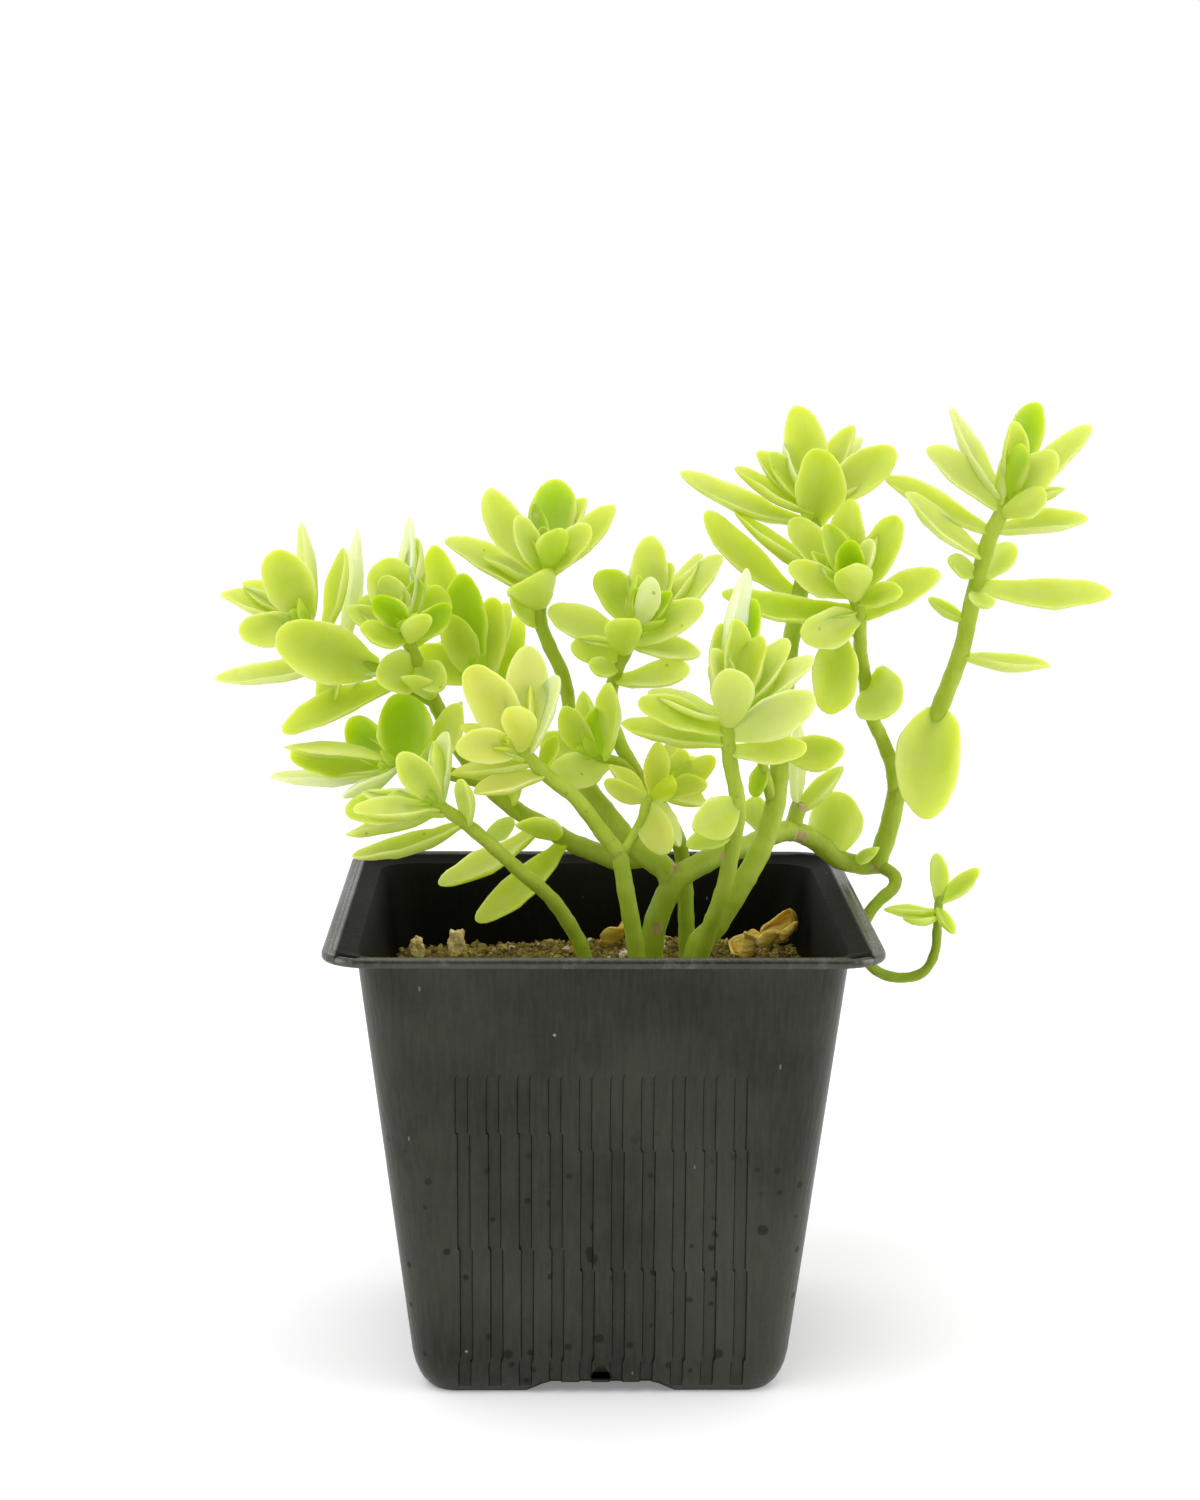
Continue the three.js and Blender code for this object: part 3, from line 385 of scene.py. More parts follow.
def note_on_points(mesh, name, values):
    """Keeps a number or an arrow for each point of a mesh, for the trees and finishes to read."""
    values = np.asarray(values, dtype=np.float32)
    kind, key = ("FLOAT_VECTOR", "vector") if values.ndim == 2 else ("FLOAT", "value")
    mesh.attributes.new(name, kind, "POINT").data.foreach_set(key, values.ravel())


print("tree helpers ready")

# %% [markdown]
# ## Effects that several finishes share
#
# Real surfaces are never one flat colour. Three small shader groups do most of the work:
# `mottling` gives soft patches, `specks` gives scattered dots, and `fine_grain` gives the
# height of a very fine roughness. Each is built once and used with its own numbers.

# %% Shader groups for patches, specks and grain
COARSER = 0.17


def shader_group(name, numbers, result):
    place, number = ("Vector", "NodeSocketVector"), (result, "NodeSocketFloat")
    return new_tree("ShaderNodeTree", name, place, number, numbers)


def end_group(bench, wire):
    end = bench.tree.nodes.new("NodeGroupOutput")
    bench.tree.links.new(wire.socket, end.inputs[0])
    return bench.tree


def mottling_group():
    bench, given = shader_group("mottling", {
        "Scale": 200.0, "Detail": 3.0, "Low": 0.35, "High": 0.65}, "Patches")
    clouds = bench.made("ShaderNodeTexNoise", "Fac", {
        "Vector": given["Vector"], "Scale": given["Scale"], "Detail": given["Detail"]})
    return end_group(bench, bench.ramp(clouds, given["Low"], given["High"]))


def specks_group():
    bench, given = shader_group("specks", {"Scale": 300.0, "Size": 0.2, "Share": 0.3}, "Mask")
    cells = bench.lay("ShaderNodeTexVoronoi", {"Vector": given["Vector"], "Scale": given["Scale"]})
    dot = bench.ramp(bench.out(cells, "Distance"), given["Size"] * 0.7, given["Size"], 1.0, 0.0)
    chance = bench.parts(bench.out(cells, "Color"))[0]
    chosen = bench.maths("LESS_THAN", chance, given["Share"])
    return end_group(bench, dot * chosen)


def fine_grain_group():
    bench, given = shader_group("fine_grain", {"Scale": 2500.0, "Coarse": 0.5}, "Height")
    fine = bench.made("ShaderNodeTexNoise", "Fac", {
        "Vector": given["Vector"], "Scale": given["Scale"], "Detail": 4.0})
    coarse = bench.made("ShaderNodeTexNoise", "Fac", {
        "Vector": given["Vector"], "Scale": given["Scale"] * COARSER})
    return end_group(bench, bench.between(given["Coarse"], fine, coarse))


MOTTLING, SPECKS, FINE_GRAIN = mottling_group(), specks_group(), fine_grain_group()
print("shared effects:", [group.name for group in (MOTTLING, SPECKS, FINE_GRAIN)])

# %% [markdown]
# ## A bench for finishes
#
# Every finish is one material with a Principled shader. Numbers that are the same all over
# are set on that shader's own sockets, and only what varies over the surface comes in
# through a wire, so the finish can later be baked into plain maps.

# %% Start a finish
class Finish(Bench):
    def __init__(self, name, **numbers):
        self.material = bpy.data.materials.new(name)
        self.material.use_nodes = True
        super().__init__(self.material.node_tree)
        self.shader = self.tree.nodes["Principled BSDF"]
        for label, value in numbers.items():
            self.shader.inputs[label.replace("_", " ").title().replace("Ior", "IOR")].default_value = value
        self.place = Wire(self, self.tree.nodes.new("ShaderNodeTexCoord").outputs["Object"])

    def use(self, group, vector=None, **numbers):
        node = self.tree.nodes.new("ShaderNodeGroup")
        node.node_tree = group
        self.join(vector or self.place, node.inputs["Vector"])
        for label, value in numbers.items():
            self.join(value, node.inputs[label.title()])
        return Wire(self, node.outputs[0])

    def noted(self, name):
        """What was kept for each point of the mesh under that name: its arrow and its number."""
        node = self.lay("ShaderNodeAttribute", attribute_name=name)
        return Wire(self, node.outputs["Vector"]), Wire(self, node.outputs["Fac"])

    def tint(self, share, first, last):
        node = self.lay("ShaderNodeMix", data_type="RGBA")
        for key, value in (("A", first), ("B", last)):
            value = value if isinstance(value, Wire) else (*value, 1)
            self.join(value, open_socket(node.inputs, key))
        self.join(share, node.inputs[0])
        return self.out(node, "Result")

    def stretched(self, factors):
        """The place on the piece, with each way stretched by its own factor."""
        return self.place * factors

    def done(self, colour, roughness, height, depth):
        self.join(colour, self.shader.inputs["Base Color"])
        self.join(roughness, self.shader.inputs["Roughness"])
        bump = self.made("ShaderNodeBump", "Normal", {"Height": height, "Distance": depth, "Strength": 1.0})
        self.join(bump, self.shader.inputs["Normal"])
        return self.material


print("finish bench ready")

# %% [markdown]
# ## The leaf finish
#
# A stonecrop leaf is fleshy and waxy. Light goes into it and comes out again a little
# further on, which makes it look soft: that is subsurface scattering. A weak glow of its
# own stands in for the light that has passed through many leaves. The colour runs from
# fresh green in the young leaves to pale yellow-green in the old ones. Each leaf's tone
# also paints light and shade: a leaf in shade is painted deep green, more in its middle
# than at its rim, and a leaf in bright light is painted whitish, partly its own pale
# colour and partly painted highlight. The paler rim of each leaf is a painted highlight.
# Some tips and rims have dried brown.

# %% Mix the leaf finish
# WHITISH is partly the pale colour of old leaves and partly a painted highlight.
WHITISH, FOOT_GREEN, DRIED_BROWN = (0.65, 0.66, 0.50), (0.50, 0.62, 0.16), (0.19, 0.11, 0.035)
GLOW = (0.39, 0.60, 0.003, 1)
LEAF_GLOW, STEM_GLOW = 0.25, 0.07
LIGHT_REACH = (1.0, 1.2, 0.3)


def fleshy_finish(name, glow, **numbers):
    finish = Finish(name, emission_strength=glow, **numbers)
    finish.shader.inputs["Emission Color"].default_value = GLOW
    finish.shader.inputs["Subsurface Radius"].default_value = LIGHT_REACH
    return finish


def leaf_finish(name, young_and_shade_green, grown, pale):
    finish = fleshy_finish(
        name, LEAF_GLOW, subsurface_weight=0.8, subsurface_scale=0.004, specular_ior_level=0.25)
    across, _, along = finish.parts(finish.noted("leaf_place")[0])
    # The tone is partly each leaf's own colour and partly painted light and shade.
    tone_and_painted_light, dry, youth = finish.parts(finish.noted("leaf_look")[0])
    # The paler rim of each leaf is a painted highlight.
    rim = finish.ramp(finish.maths("ABSOLUTE", across), 0.62, 1.0)
    patches = finish.use(MOTTLING, scale=330.0, low=0.3, high=0.7)
    # Deep green is the young leaves' own colour, and on leaves of low tone it is painted shade, kept off the
    # rim so that the middle is painted darker.
    deep = finish.maths("MAXIMUM", finish.ramp(tone_and_painted_light, 0.0, -1.0) * (1.0 - rim * 0.8), youth)
    colour = finish.tint(deep, grown, young_and_shade_green)
    # Paleness is the old leaves' own colour and random patches, plus the painted highlight of a high tone and
    # of the rim.
    paleness = finish.ramp(tone_and_painted_light, -0.3, 0.9, 0.0, 0.6) + rim * 0.4 + patches * 0.2
    colour = finish.tint(finish.maths("MINIMUM", paleness, 1.0) * (1.0 - deep * 0.75), colour, pale)
    # Whitish on the highest tones: partly pale leaf colour, partly painted highlight.
    colour = finish.tint(finish.ramp(tone_and_painted_light, 0.35, 1.1), colour, WHITISH)
    colour = finish.tint(finish.ramp(along, 0.0, 0.25, 0.35, 0.0), colour, FOOT_GREEN)
    dots = finish.use(SPECKS, scale=420.0, size=0.16, share=0.035)
    edge = finish.maths("MAXIMUM", finish.maths("ABSOLUTE", across), along)
    ragged = finish.use(MOTTLING, scale=700.0, low=0.2, high=0.8)
    burnt = finish.ramp(edge + (ragged - 0.5) * 0.25 + dry * 0.3, 1.12, 1.2) * finish.ramp(dry, 0.05, 0.2)
    brown = finish.maths("MAXIMUM", burnt, dots * 0.6)
    colour = finish.tint(brown, colour, DRIED_BROWN)
    roughness = 0.36 + patches * 0.12 + brown * 0.3
    skin = finish.use(FINE_GRAIN, scale=2600.0, coarse=0.6)
    return finish.done(colour, roughness, skin, 0.00012)


LEAF_GREEN = leaf_finish("green_leaf", (0.22, 0.34, 0.003), (0.42, 0.45, 0.060), (0.53, 0.53, 0.28))
LEAF_YELLOW = leaf_finish("yellow_leaf", (0.33, 0.39, 0.008), (0.51, 0.48, 0.075), (0.58, 0.55, 0.29))
print("leaf finishes:", LEAF_GREEN.name, LEAF_YELLOW.name)

# %% [markdown]
# ## The stem finish
#
# The stems are olive green and smooth, with faint streaks along them. They bear small
# brown scars where leaves have dropped, and brown cork where a shoot was damaged. Like
# the leaves, they glow weakly of their own, which is painted light.

# %% Mix the stem finish
def stem_finish():
    finish = fleshy_finish(
        "green_stem", STEM_GLOW, subsurface_weight=0.5, subsurface_scale=0.002, specular_ior_level=0.22)
    scar, darker_low_share = finish.noted("scar")[1], finish.noted("darker_low")[1]
    patches = finish.use(MOTTLING, scale=260.0, low=0.3, high=0.7)
    streaks = finish.use(MOTTLING, finish.stretched((1.0, 1.0, 0.12)), scale=1500.0, low=0.25, high=0.75)
    colour = finish.tint(patches * 0.6 + streaks * 0.25, (0.32, 0.43, 0.026), (0.45, 0.53, 0.065))
    # The stems turn a darker green towards their foot.
    colour = finish.tint(darker_low_share * 0.8, colour, (0.19, 0.27, 0.012))
    dots = finish.use(SPECKS, scale=650.0, size=0.2, share=0.12)
    cork = finish.ramp(scar + (patches - 0.5) * 0.5, 0.42, 0.68)
    colour = finish.tint(dots * 0.5, colour, (0.26, 0.17, 0.06))
    colour = finish.tint(cork, colour, finish.tint(streaks, (0.32, 0.20, 0.09), (0.55, 0.42, 0.26)))
    grain = finish.use(FINE_GRAIN, scale=1800.0, coarse=0.6)
    return finish.done(colour, 0.42 + cork * 0.35 + streaks * 0.08, grain + streaks * 0.4, 0.00014)


STEM_GREEN = stem_finish()
print("stem finish:", STEM_GREEN.name)

# %% [markdown]
# ## The plant's plan
#
# A plant can't be measured with a ruler, so its plan is a table. Each place in it is
# sighted from the camera: how far across, how far up, and how far behind the pot's middle
# it lies. A branch has a line of such places and a thickness at both ends. A leaf has the
# place of its foot and of its tip across and up, how far it leans back, and the width that
# it shows. Two more numbers may follow: its form (0 slender, 1 oval, 2 full at both ends)
# and its tone (-1 deep green to 1 whitish). The tone is partly the leaf's own colour and
# partly painted light and shade: a leaf that lies in shade has a low tone, and a leaf in
# bright light a high one. `crown` is the number of leaves on the far side of the branch's
# end, where no place can be sighted, and `bud` is the size of its bud.

# %% The plan of the five shoots
SHOOTS = [
  {"name": "shoot_front_left", "branches": [
    {"line": [
      [-1.5, 52, -13], [-2, 62, -13.5], [-3, 69.5, -14.5], [-8, 78, -17], [-14, 83.5, -18.5],
      [-20, 89, -19.5], [-25, 93, -20], [-29, 95.5, -20],
    ], "radius": [1.4, 1], "crown": 4, "bud": 0.6, "leaves": [
      [-29.5, 96.5, -34.4, 104.3, -4, 5, 0, 0.2], [-30, 97.5, -41, 97.2, 3, 2.6, 0, 0.2],
      [-29, 95, -42.3, 93.8, -5, 3, 0, 0.3], [-30, 95.5, -44.3, 94.3, 3, 5.4, 0, -0.3],
      [-28.5, 95, -44, 89.8, 4, 2.2, 0, 0.2], [-28, 97, -26.9, 108, 2, 2.4, 0, 0.5],
      [-25, 92, -43, 86, 6, 2.4, 0, 0.2], [-21, 89.5, -15, 92.5, 2, 3, 0, 0.2],
      [-24, 92, -23.5, 99.5, -4, 2, 0, 0.4],
    ]},
  ]},
  {"name": "shoot_front_middle", "branches": [
    {"line": [
      [7.5, 52, -17], [7, 62, -17], [6.3, 69.8, -17.5], [4.5, 80, -18], [3.3, 87, -18],
    ], "radius": [1.6, 1.35], "leaves": []},
    {"line": [
      [3.3, 86.5, -18], [-0.3, 91, -18], [-4.5, 96.5, -18], [-8.5, 99.5, -18], [-14.5, 105.5, -18.5],
    ], "radius": [1.35, 1.1], "crown": 4, "bud": 1, "leaves": [
      [-13.5, 107, -12.6, 122.8, 3, 6.8, 0, 0.3], [-16, 106.5, -22.8, 119.2, 1, 7, 1, 0.05],
      [-12.5, 105.5, -7.4, 117.9, 1, 3.4, 0, 0.7], [-15, 104.5, -25, 104.8, -4, 5.4, 1, 0.1],
      [-15, 105, -24, 108.7, 4, 2, 0, -0.3], [-14, 105.5, -15.5, 112, -6, 5, 1, -0.1],
      [-13, 103, -26, 100.4, 3, 2, 0, 0.3], [-11, 101, -22, 97.2, -3, 3.2, 0, 0.35],
      [-11, 102.5, -8, 107, 3, 2.6, 0, -0.9],
    ]},
    {"line": [
      [3.5, 86, -18], [5.5, 89, -17], [7.2, 92.5, -15.5], [8.4, 96, -14.5], [11.5, 98, -14],
    ], "radius": [0.85, 0.8], "crown": 3, "bud": 0.7, "leaves": [
      [10, 97, 9.8, 106, -2, 3.8, 0, 0.1], [12.5, 98, 14.8, 104.8, 0, 4, 1, 0.1],
      [12.5, 97, 19.8, 103.3, -1, 3.8, 0, 0.1], [12.5, 96.5, 18.5, 98.8, -3, 3.2, 0, 0.2],
      [9, 96.5, 0.6, 99.3, -1, 3.3, 0, 0.3], [8.5, 97, 1.6, 102.2, 3, 2.3, 0, -0.2],
      [9.6, 95.8, 11.5, 86.3, -3, 5.2, 0, 0.3], [11, 96, 14.2, 88, 3, 2, 0, 0.5],
      [10.5, 98, 13.5, 107.2, 5, 3], [11, 96, 13, 99.3, -5, 2.6, 1, -1],
    ]},
  ]},
  {"name": "shoot_main", "branches": [
    {"line": [
      [9, 52, -7], [9, 62, -7.5], [9, 70, -8], [10.5, 76.5, -8.5], [13.5, 82, -8], [18, 85, -4],
      [22, 87, 0], [26, 88, 4], [30, 90, 8], [33.5, 90.5, 12], [37.5, 88.7, 16], [41, 85.8, 19],
      [45, 84.6, 20], [48.5, 84.6, 20],
    ], "radius": [2.1, 1.7], "leaves": [
      [41, 86, 40.2, 97.6, 2, 8.8, 2], [45.5, 85, 48.6, 87.6, -3, 1.6, 0, 0.4],
    ]},
    {"line": [
      [33, 90, 12], [34.5, 95.5, 12],
    ], "radius": [1.6, 1.3], "leaves": [
      [34.5, 95, 41.7, 102, 3, 3.2, 0, 0.1], [34.4, 95.5, 34.2, 110, 3, 2, 0, 0.9],
    ]},
    {"line": [
      [12.5, 81, -8], [11, 84, -6.5], [6, 87.5, -3], [1.5, 93, 0], [-2.8, 98.5, 3],
    ], "radius": [2.1, 1.7], "leaves": []},
    {"line": [
      [-2, 97.5, 2.6], [-5.5, 103, 5], [-5.3, 110, 5], [-6.3, 117, 4], [-9, 123, 2.5], [-10.5, 128, 1],
      [-9.5, 135, 0], [-9, 138, 0],
    ], "radius": [1.2, 1.1], "crown": 4, "bud": 1, "leaves": [
      [-8.5, 138, -7.3, 151.2, 4, 7.3, 0, -0.7], [-9.5, 137.5, -11.4, 147, 2, 3.6, 0, -0.9],
      [-8, 138, -3, 148.2, 4, 4, 0, 0.2], [-8, 135.5, 2.4, 146.6, -2, 3.8, 0, 0.1],
      [-8.3, 136.5, -1.7, 143, -5, 4.6, 0, -0.1], [-10.5, 136, -19.6, 149.5, 2, 5.6, 0, 0.1],
      [-10.5, 136.5, -14.6, 144.6, -3, 4.2, 0, 0.5], [-9, 137, -7.3, 142.9, -6, 4.8, 1, -0.7],
      [-11.5, 135, -20, 138.2, 3, 2.2], [-10.2, 130.5, -12.6, 134.4, -5, 8.2, 1, 0.15],
      [-10.6, 132.5, -26.6, 141.2, 4, 4.2, 0, 0.3], [-10.8, 127, -15.5, 131.5, -3, 3.6, 0, 0.1],
    ]},
    {"line": [
      [8, 86, -4], [3, 85.5, 0], [0, 86.5, 2], [-5, 88.5, 5], [-10, 91.5, 7], [-15, 94.5, 8], [-20, 99, 8],
      [-25, 106, 7], [-29, 114, 5], [-32, 121, 2], [-34, 126, 0],
    ], "radius": [1.9, 1.1], "crown": 3, "bud": 1, "leaves": [
      [-34.8, 127, -36.8, 137.6, 3, 8, 1, -0.4], [-33.5, 127, -32.7, 144.9, 6, 2.9, 0, 1.2],
      [-33, 127, -31.3, 141, 5, 1.8, 0, 0.5], [-33.3, 126.5, -31, 134, 1, 3.2, 0, -1],
      [-34.5, 126, -38.6, 131, -5, 4.8, 0, -0.8], [-35, 125.5, -43.6, 129, 1, 3.4, 0, 0.2],
      [-34, 124.5, -41.2, 125.6, -5, 3.4, 0, -0.3], [-34, 124, -30.4, 128, -6, 3.6],
      [-33, 125, -26, 129.8, -1, 4.4, 0, -1], [-31.5, 124, -27.5, 133, 4, 6, 0, -0.3],
      [-30.5, 119, -38.6, 117.3, -5, 7, 1, 0.2], [-31, 121, -27.3, 115, -4, 5, 0, 0.3],
      [-29, 115, -33.5, 117.5, -6, 3, 0, 0.2], [-8, 90, -14.2, 92, -6, 2.6, 0, 0.2],
      [-7, 89.5, -21.3, 74.2, -9, 4.4, 0, 0.1], [-12, 91.5, -28, 81, -8, 3, 0, 0.2],
      [-16, 96, -15, 104, -5, 3],
    ]},
    {"line": [
      [-28.5, 113, 5], [-36, 117, 5], [-43, 121.5, 4], [-51, 127, 3],
    ], "radius": [1.2, 1.1], "crown": 3, "bud": 0.8, "leaves": [
      [-51.5, 127.5, -56.3, 138.7, -1, 7.8, 1, -0.1], [-52, 128, -61, 133.6, 3, 3.4, 0, 0.2],
      [-52, 127.5, -65, 131.5, 0, 4, 0, 0.2], [-51, 126, -62, 125, -3, 5.6, 1, 0.1],
      [-38.5, 120, -55.6, 125, -8, 9.4, 1, -0.1], [-49.5, 128.3, -51.1, 143.8, 5, 1.9, 0, 0.6],
      [-47, 127, -43.8, 139.6, 3, 2.8, 0, 0.05], [-44.6, 124, -41.6, 142.6, 7, 1.9, 0, 1],
      [-45, 120.5, -66.5, 117, 2, 2.4, 0, 0.4], [-38, 120, -52, 118.2, 1, 2.4, 0, 0.8],
      [-47.5, 122, -47.6, 110.8, 2, 3.8, 0, -0.3], [-43, 119, -44.3, 112.6, 5, 2, 0, 0.9],
      [-36, 117, -54.8, 107.6, -4, 4.6, 0, -0.3],
    ]},
    {"line": [
      [-20, 99, 8], [-26, 100.5, 5], [-31, 101.5, 3], [-36, 102, 2],
    ], "radius": [1.3, 1], "crown": 2, "bud": 0.7, "leaves": [
      [-36.5, 101.5, -53.5, 103.8, 1, 6, 0, -0.3], [-36.5, 102, -43.5, 109.8, 3, 6.4, 1, -0.8],
      [-36.5, 102.5, -54.7, 105, -1, 1.8, 0, 0.4], [-36, 101, -57, 100, 5, 1.2, 0, 0.6],
      [-34.5, 102, -34.6, 114.5, -2, 8.9, 1, -1], [-31, 101, -24, 112.6, -3, 4.4, 0, 0.1],
      [-33, 102.5, -24, 113.2, 4, 1.6], [-36, 100.5, -44.8, 96.3, -3, 1, 0, 1],
    ]},
    {"line": [
      [-16, 95, 8], [-18, 104, 12], [-20.5, 112, 14], [-22, 119, 14],
    ], "radius": [1.3, 1], "crown": 3, "bud": 0.7, "leaves": [
      [-22.5, 119, -28.7, 140, 2, 6.2, 0, -0.2], [-22, 117, -23.6, 135.3, -3, 7.6, 0, -0.7],
      [-21, 116, -18.2, 131.2, -1, 5.8, 0, 0.15], [-20.5, 114, -16, 130.3, 2, 5.4, 0, 0.2],
      [-22, 117.5, -31.6, 122, -1, 6, 1, 0.3], [-20, 112, -14, 128, 5, 5.4, 0, -0.1],
      [-22, 118, -26.2, 128, -4, 5.5],
    ]},
    {"line": [
      [48, 84.6, 20], [50, 91, 20], [51.2, 97, 19], [53, 102, 19], [57, 109, 18], [59.8, 116, 17],
      [61.8, 122, 17], [63, 128, 16], [64, 133, 16], [65.5, 139, 15], [67, 143.5, 15], [70, 149, 15],
    ], "radius": [1.8, 1.3], "crown": 4, "bud": 0.6, "leaves": [
      [71, 150, 73.9, 164.7, 3, 5.8, 0, -1], [69.8, 150, 69.7, 161.4, -2, 3.9, 0, -0.1],
      [71, 150, 71.6, 157.3, -4, 3.4, 0, -0.8], [70.5, 147, 77.4, 156, -5, 6.4, 1, 0.2],
      [70.5, 150, 82.9, 160.6, 3, 4.2, 0, 0.3], [69.5, 146, 75.5, 149.5, -5, 4.6, 0, 0.2],
      [68.5, 149, 58.9, 163.7, 3, 2.1, 0, 0.5], [68, 148, 55, 156.8, -2, 4.8, 0, 0.3],
      [66.5, 143.5, 48, 151.8, 2, 3.4, 0, 0.2], [65.5, 139.5, 51.5, 149, -4, 3.6, 0, 0.4],
      [67.5, 143.8, 83, 144.9, 2, 2.4, 0, 0.2], [64.5, 134.5, 87.5, 132, -4, 5.2, 0, 0.1],
      [65, 135, 70.6, 140.4, 4, 4.4, 0, 0.5], [64.8, 136, 59.2, 137.8, -3, 3.2],
      [64.2, 133.5, 66.5, 129.6, -6, 2.6, 0, 0.3], [62.8, 128.5, 55.8, 131.2, 2, 1.5, 0, 0.1],
      [62, 122.3, 77.4, 119.3, -2, 1.9, 0, 0.3], [58.3, 113.6, 56, 92.6, -7, 10.2, 2, 0.1],
    ]},
    {"line": [
      [51, 96, 19], [50.5, 101, 18], [49, 105.5, 17], [46.5, 111, 14], [45.5, 116, 12], [44.5, 122, 9],
      [44, 129, 6], [42, 134, 5],
    ], "radius": [1.3, 1.1], "crown": 4, "bud": 1, "leaves": [
      [41.5, 132.5, 31.8, 136.7, -3, 5.2], [42, 131.5, 42.2, 136.6, -7, 6, 1, 0.05],
      [41, 134, 38.4, 143.8, 1, 4.4, 0, -0.5], [42, 134, 42.2, 141.3, -4, 4.4, 0, -1.2],
      [43, 133.5, 46.3, 141, -3, 2.4, 0, 0.7], [42, 134, 42.3, 148, 3, 6, 1, -0.1],
      [41, 133.5, 31.8, 144.6, 3, 5.6, 1], [43, 133, 50.4, 145.2, 0, 5.8, 1, -0.2],
      [43, 131.5, 51.5, 132, -5, 3.8], [44, 128.5, 58, 135.6, 0, 5, 0, 0.05],
      [43.5, 129, 34, 124.6, -6, 6.2, 1], [43, 130, 20.5, 131.6, -4, 3.8, 0, -0.4],
      [40.5, 133.5, 22.6, 145.9, 7, 1.2, 0, -0.2], [45, 117, 51.6, 112.4, -7, 9.2, 2, 0.05],
    ]},
    {"line": [
      [44.4, 124.6, 8.5], [41.5, 126, 6.5], [39, 125.6, 6],
    ], "radius": [0.9, 0.7], "leaves": [
      [39, 125, 39.6, 110.8, -3, 7.4, 1, -0.3],
    ]},
    {"line": [
      [48, 84.6, 20], [51, 82.8, 18], [51, 80.5, 16], [48.6, 78.3, 14], [46.4, 75, 13], [45.6, 70.5, 12],
      [48, 66, 12], [52.5, 64.5, 12], [56.5, 65.5, 12], [58.5, 69, 12], [58.8, 73, 12], [59, 79, 12],
    ], "radius": [1.2, 0.75], "leaves": [
      [59, 79.5, 58.4, 86.6, 1, 3, 1, 0.1], [59.4, 79, 65.8, 83.8, 0, 2.6, 0, 0.1],
      [58.9, 77.6, 49.4, 76.7, -1, 1.1, 0, 0.1], [58.8, 76.5, 53, 75, -3, 1, 0, 0.1],
      [59.2, 78.5, 61.6, 72.3, -3, 1.8, 0, 0.1],
    ]},
  ]},
  {"name": "shoot_right", "branches": [
    {"line": [
      [15.5, 52, -13], [16, 62, -13.5], [17, 70, -14], [20, 73.5, -14], [24, 80, -13], [27.5, 86.5, -11],
      [29.5, 92, -9], [30.5, 97, -7], [31, 104, -4], [31.5, 113, 2], [32.3, 122, 8], [34, 132, 13],
      [36, 143, 17], [37, 148, 17],
    ], "radius": [2.1, 1.3], "crown": 4, "bud": 0.6, "leaves": [
      [36.5, 147.5, 32.9, 163.9, 4, 7, 0, -0.2], [36.5, 144, 36.7, 156.7, -5, 7.9, 1, -0.1],
      [37.5, 147.5, 50, 156.5, 0, 6.6, 0, 0.05], [37.5, 149, 42.4, 160.7, 4, 4.4],
      [37.5, 148.5, 43.6, 158.5, 6, 2.6, 0, 0.7], [36, 147.5, 26.4, 156.1, 2, 4],
      [36, 147.5, 28.3, 155.8, 0, 3.4, 0, -0.5], [36, 147, 22.5, 153.2, -2, 2.6, 0, 0.1],
      [35.5, 145, 13.1, 152.4, 1, 2.6, 0, 0.1], [36, 148, 30.5, 157.5, 3, 2.2, 0, 0.7],
      [34.2, 132, 17.2, 145.7, 2, 4.5, 0, 0.1], [31.2, 105.5, 42.2, 104.8, -5, 5.6, 1, 0.1],
      [29.2, 91, 25.8, 96.3, 4, 4.2, 1, 0.3],
    ]},
    {"line": [
      [30, 95, -8], [28.5, 100, -8], [27.5, 104.5, -8],
    ], "radius": [1.1, 0.8], "leaves": [
      [27.5, 103.5, 26.5, 110, 1, 3.2], [27.8, 103.5, 26.5, 96.4, -1, 3, 1, -0.9],
    ]},
    {"line": [
      [16, 58, -14], [17, 65, -15.5], [18.5, 71.5, -18], [21.3, 79.5, -20], [23, 88, -21], [23.8, 95, -22],
      [22.3, 103, -22], [21.8, 110, -22], [22.3, 113, -22],
    ], "radius": [1.55, 1.1], "crown": 4, "bud": 0.8, "leaves": [
      [22.3, 109.8, 22.7, 118.8, -5, 6.4, 1, 0.35], [22, 112, 19.4, 122.5, -1, 3.2, 0, 0.3],
      [22.3, 113, 20.4, 126.5, 3, 4, 0, 0.2], [22.5, 113, 23.5, 127.5, 1, 4.4, 0, -0.1],
      [22.5, 112.5, 27.6, 124.8, 1, 4.6, 0, -0.2], [22.5, 112, 32, 124.2, 2, 4, 0, 0.3],
      [21.8, 109, 6.2, 113, -1, 4.6, 0, -0.3], [22, 107, 3.3, 109.3, 3, 3.2, 0, -0.2],
      [22.2, 111.5, 8, 115, 2, 2.6, 0, 0.4], [22.3, 110, 36.6, 121, -1, 3, 0, 0.6],
      [22.2, 108.5, 36.8, 114.3, -4, 6.2, 1, 0.4], [22.3, 106, 35.8, 104.6, -3, 4.4, 0, 0.25],
      [22.5, 112.5, 25, 136.2, 6, 1.4, 0, 1], [22.6, 112, 26, 131, 7, 6, 0, -1],
      [23.4, 97, 16, 91, -5, 6.2, 1, -0.3], [23.2, 91, 15, 87.8, -2, 3, 0, 0.1],
    ]},
  ]},
  {"name": "shoot_middle", "branches": [
    {"line": [
      [15.5, 52, 3], [15.3, 62, 3], [15.2, 70.5, 3], [14.8, 80, 3.5], [13.8, 88, 3], [11, 94, 1],
      [8, 98, -1], [5.4, 102, -2], [3.2, 106, -2], [2, 110, -1], [1.8, 115, 0], [3.2, 119.5, 0],
      [5.5, 124, 0], [7, 127, 0],
    ], "radius": [1.5, 1], "crown": 4, "bud": 1, "leaves": [
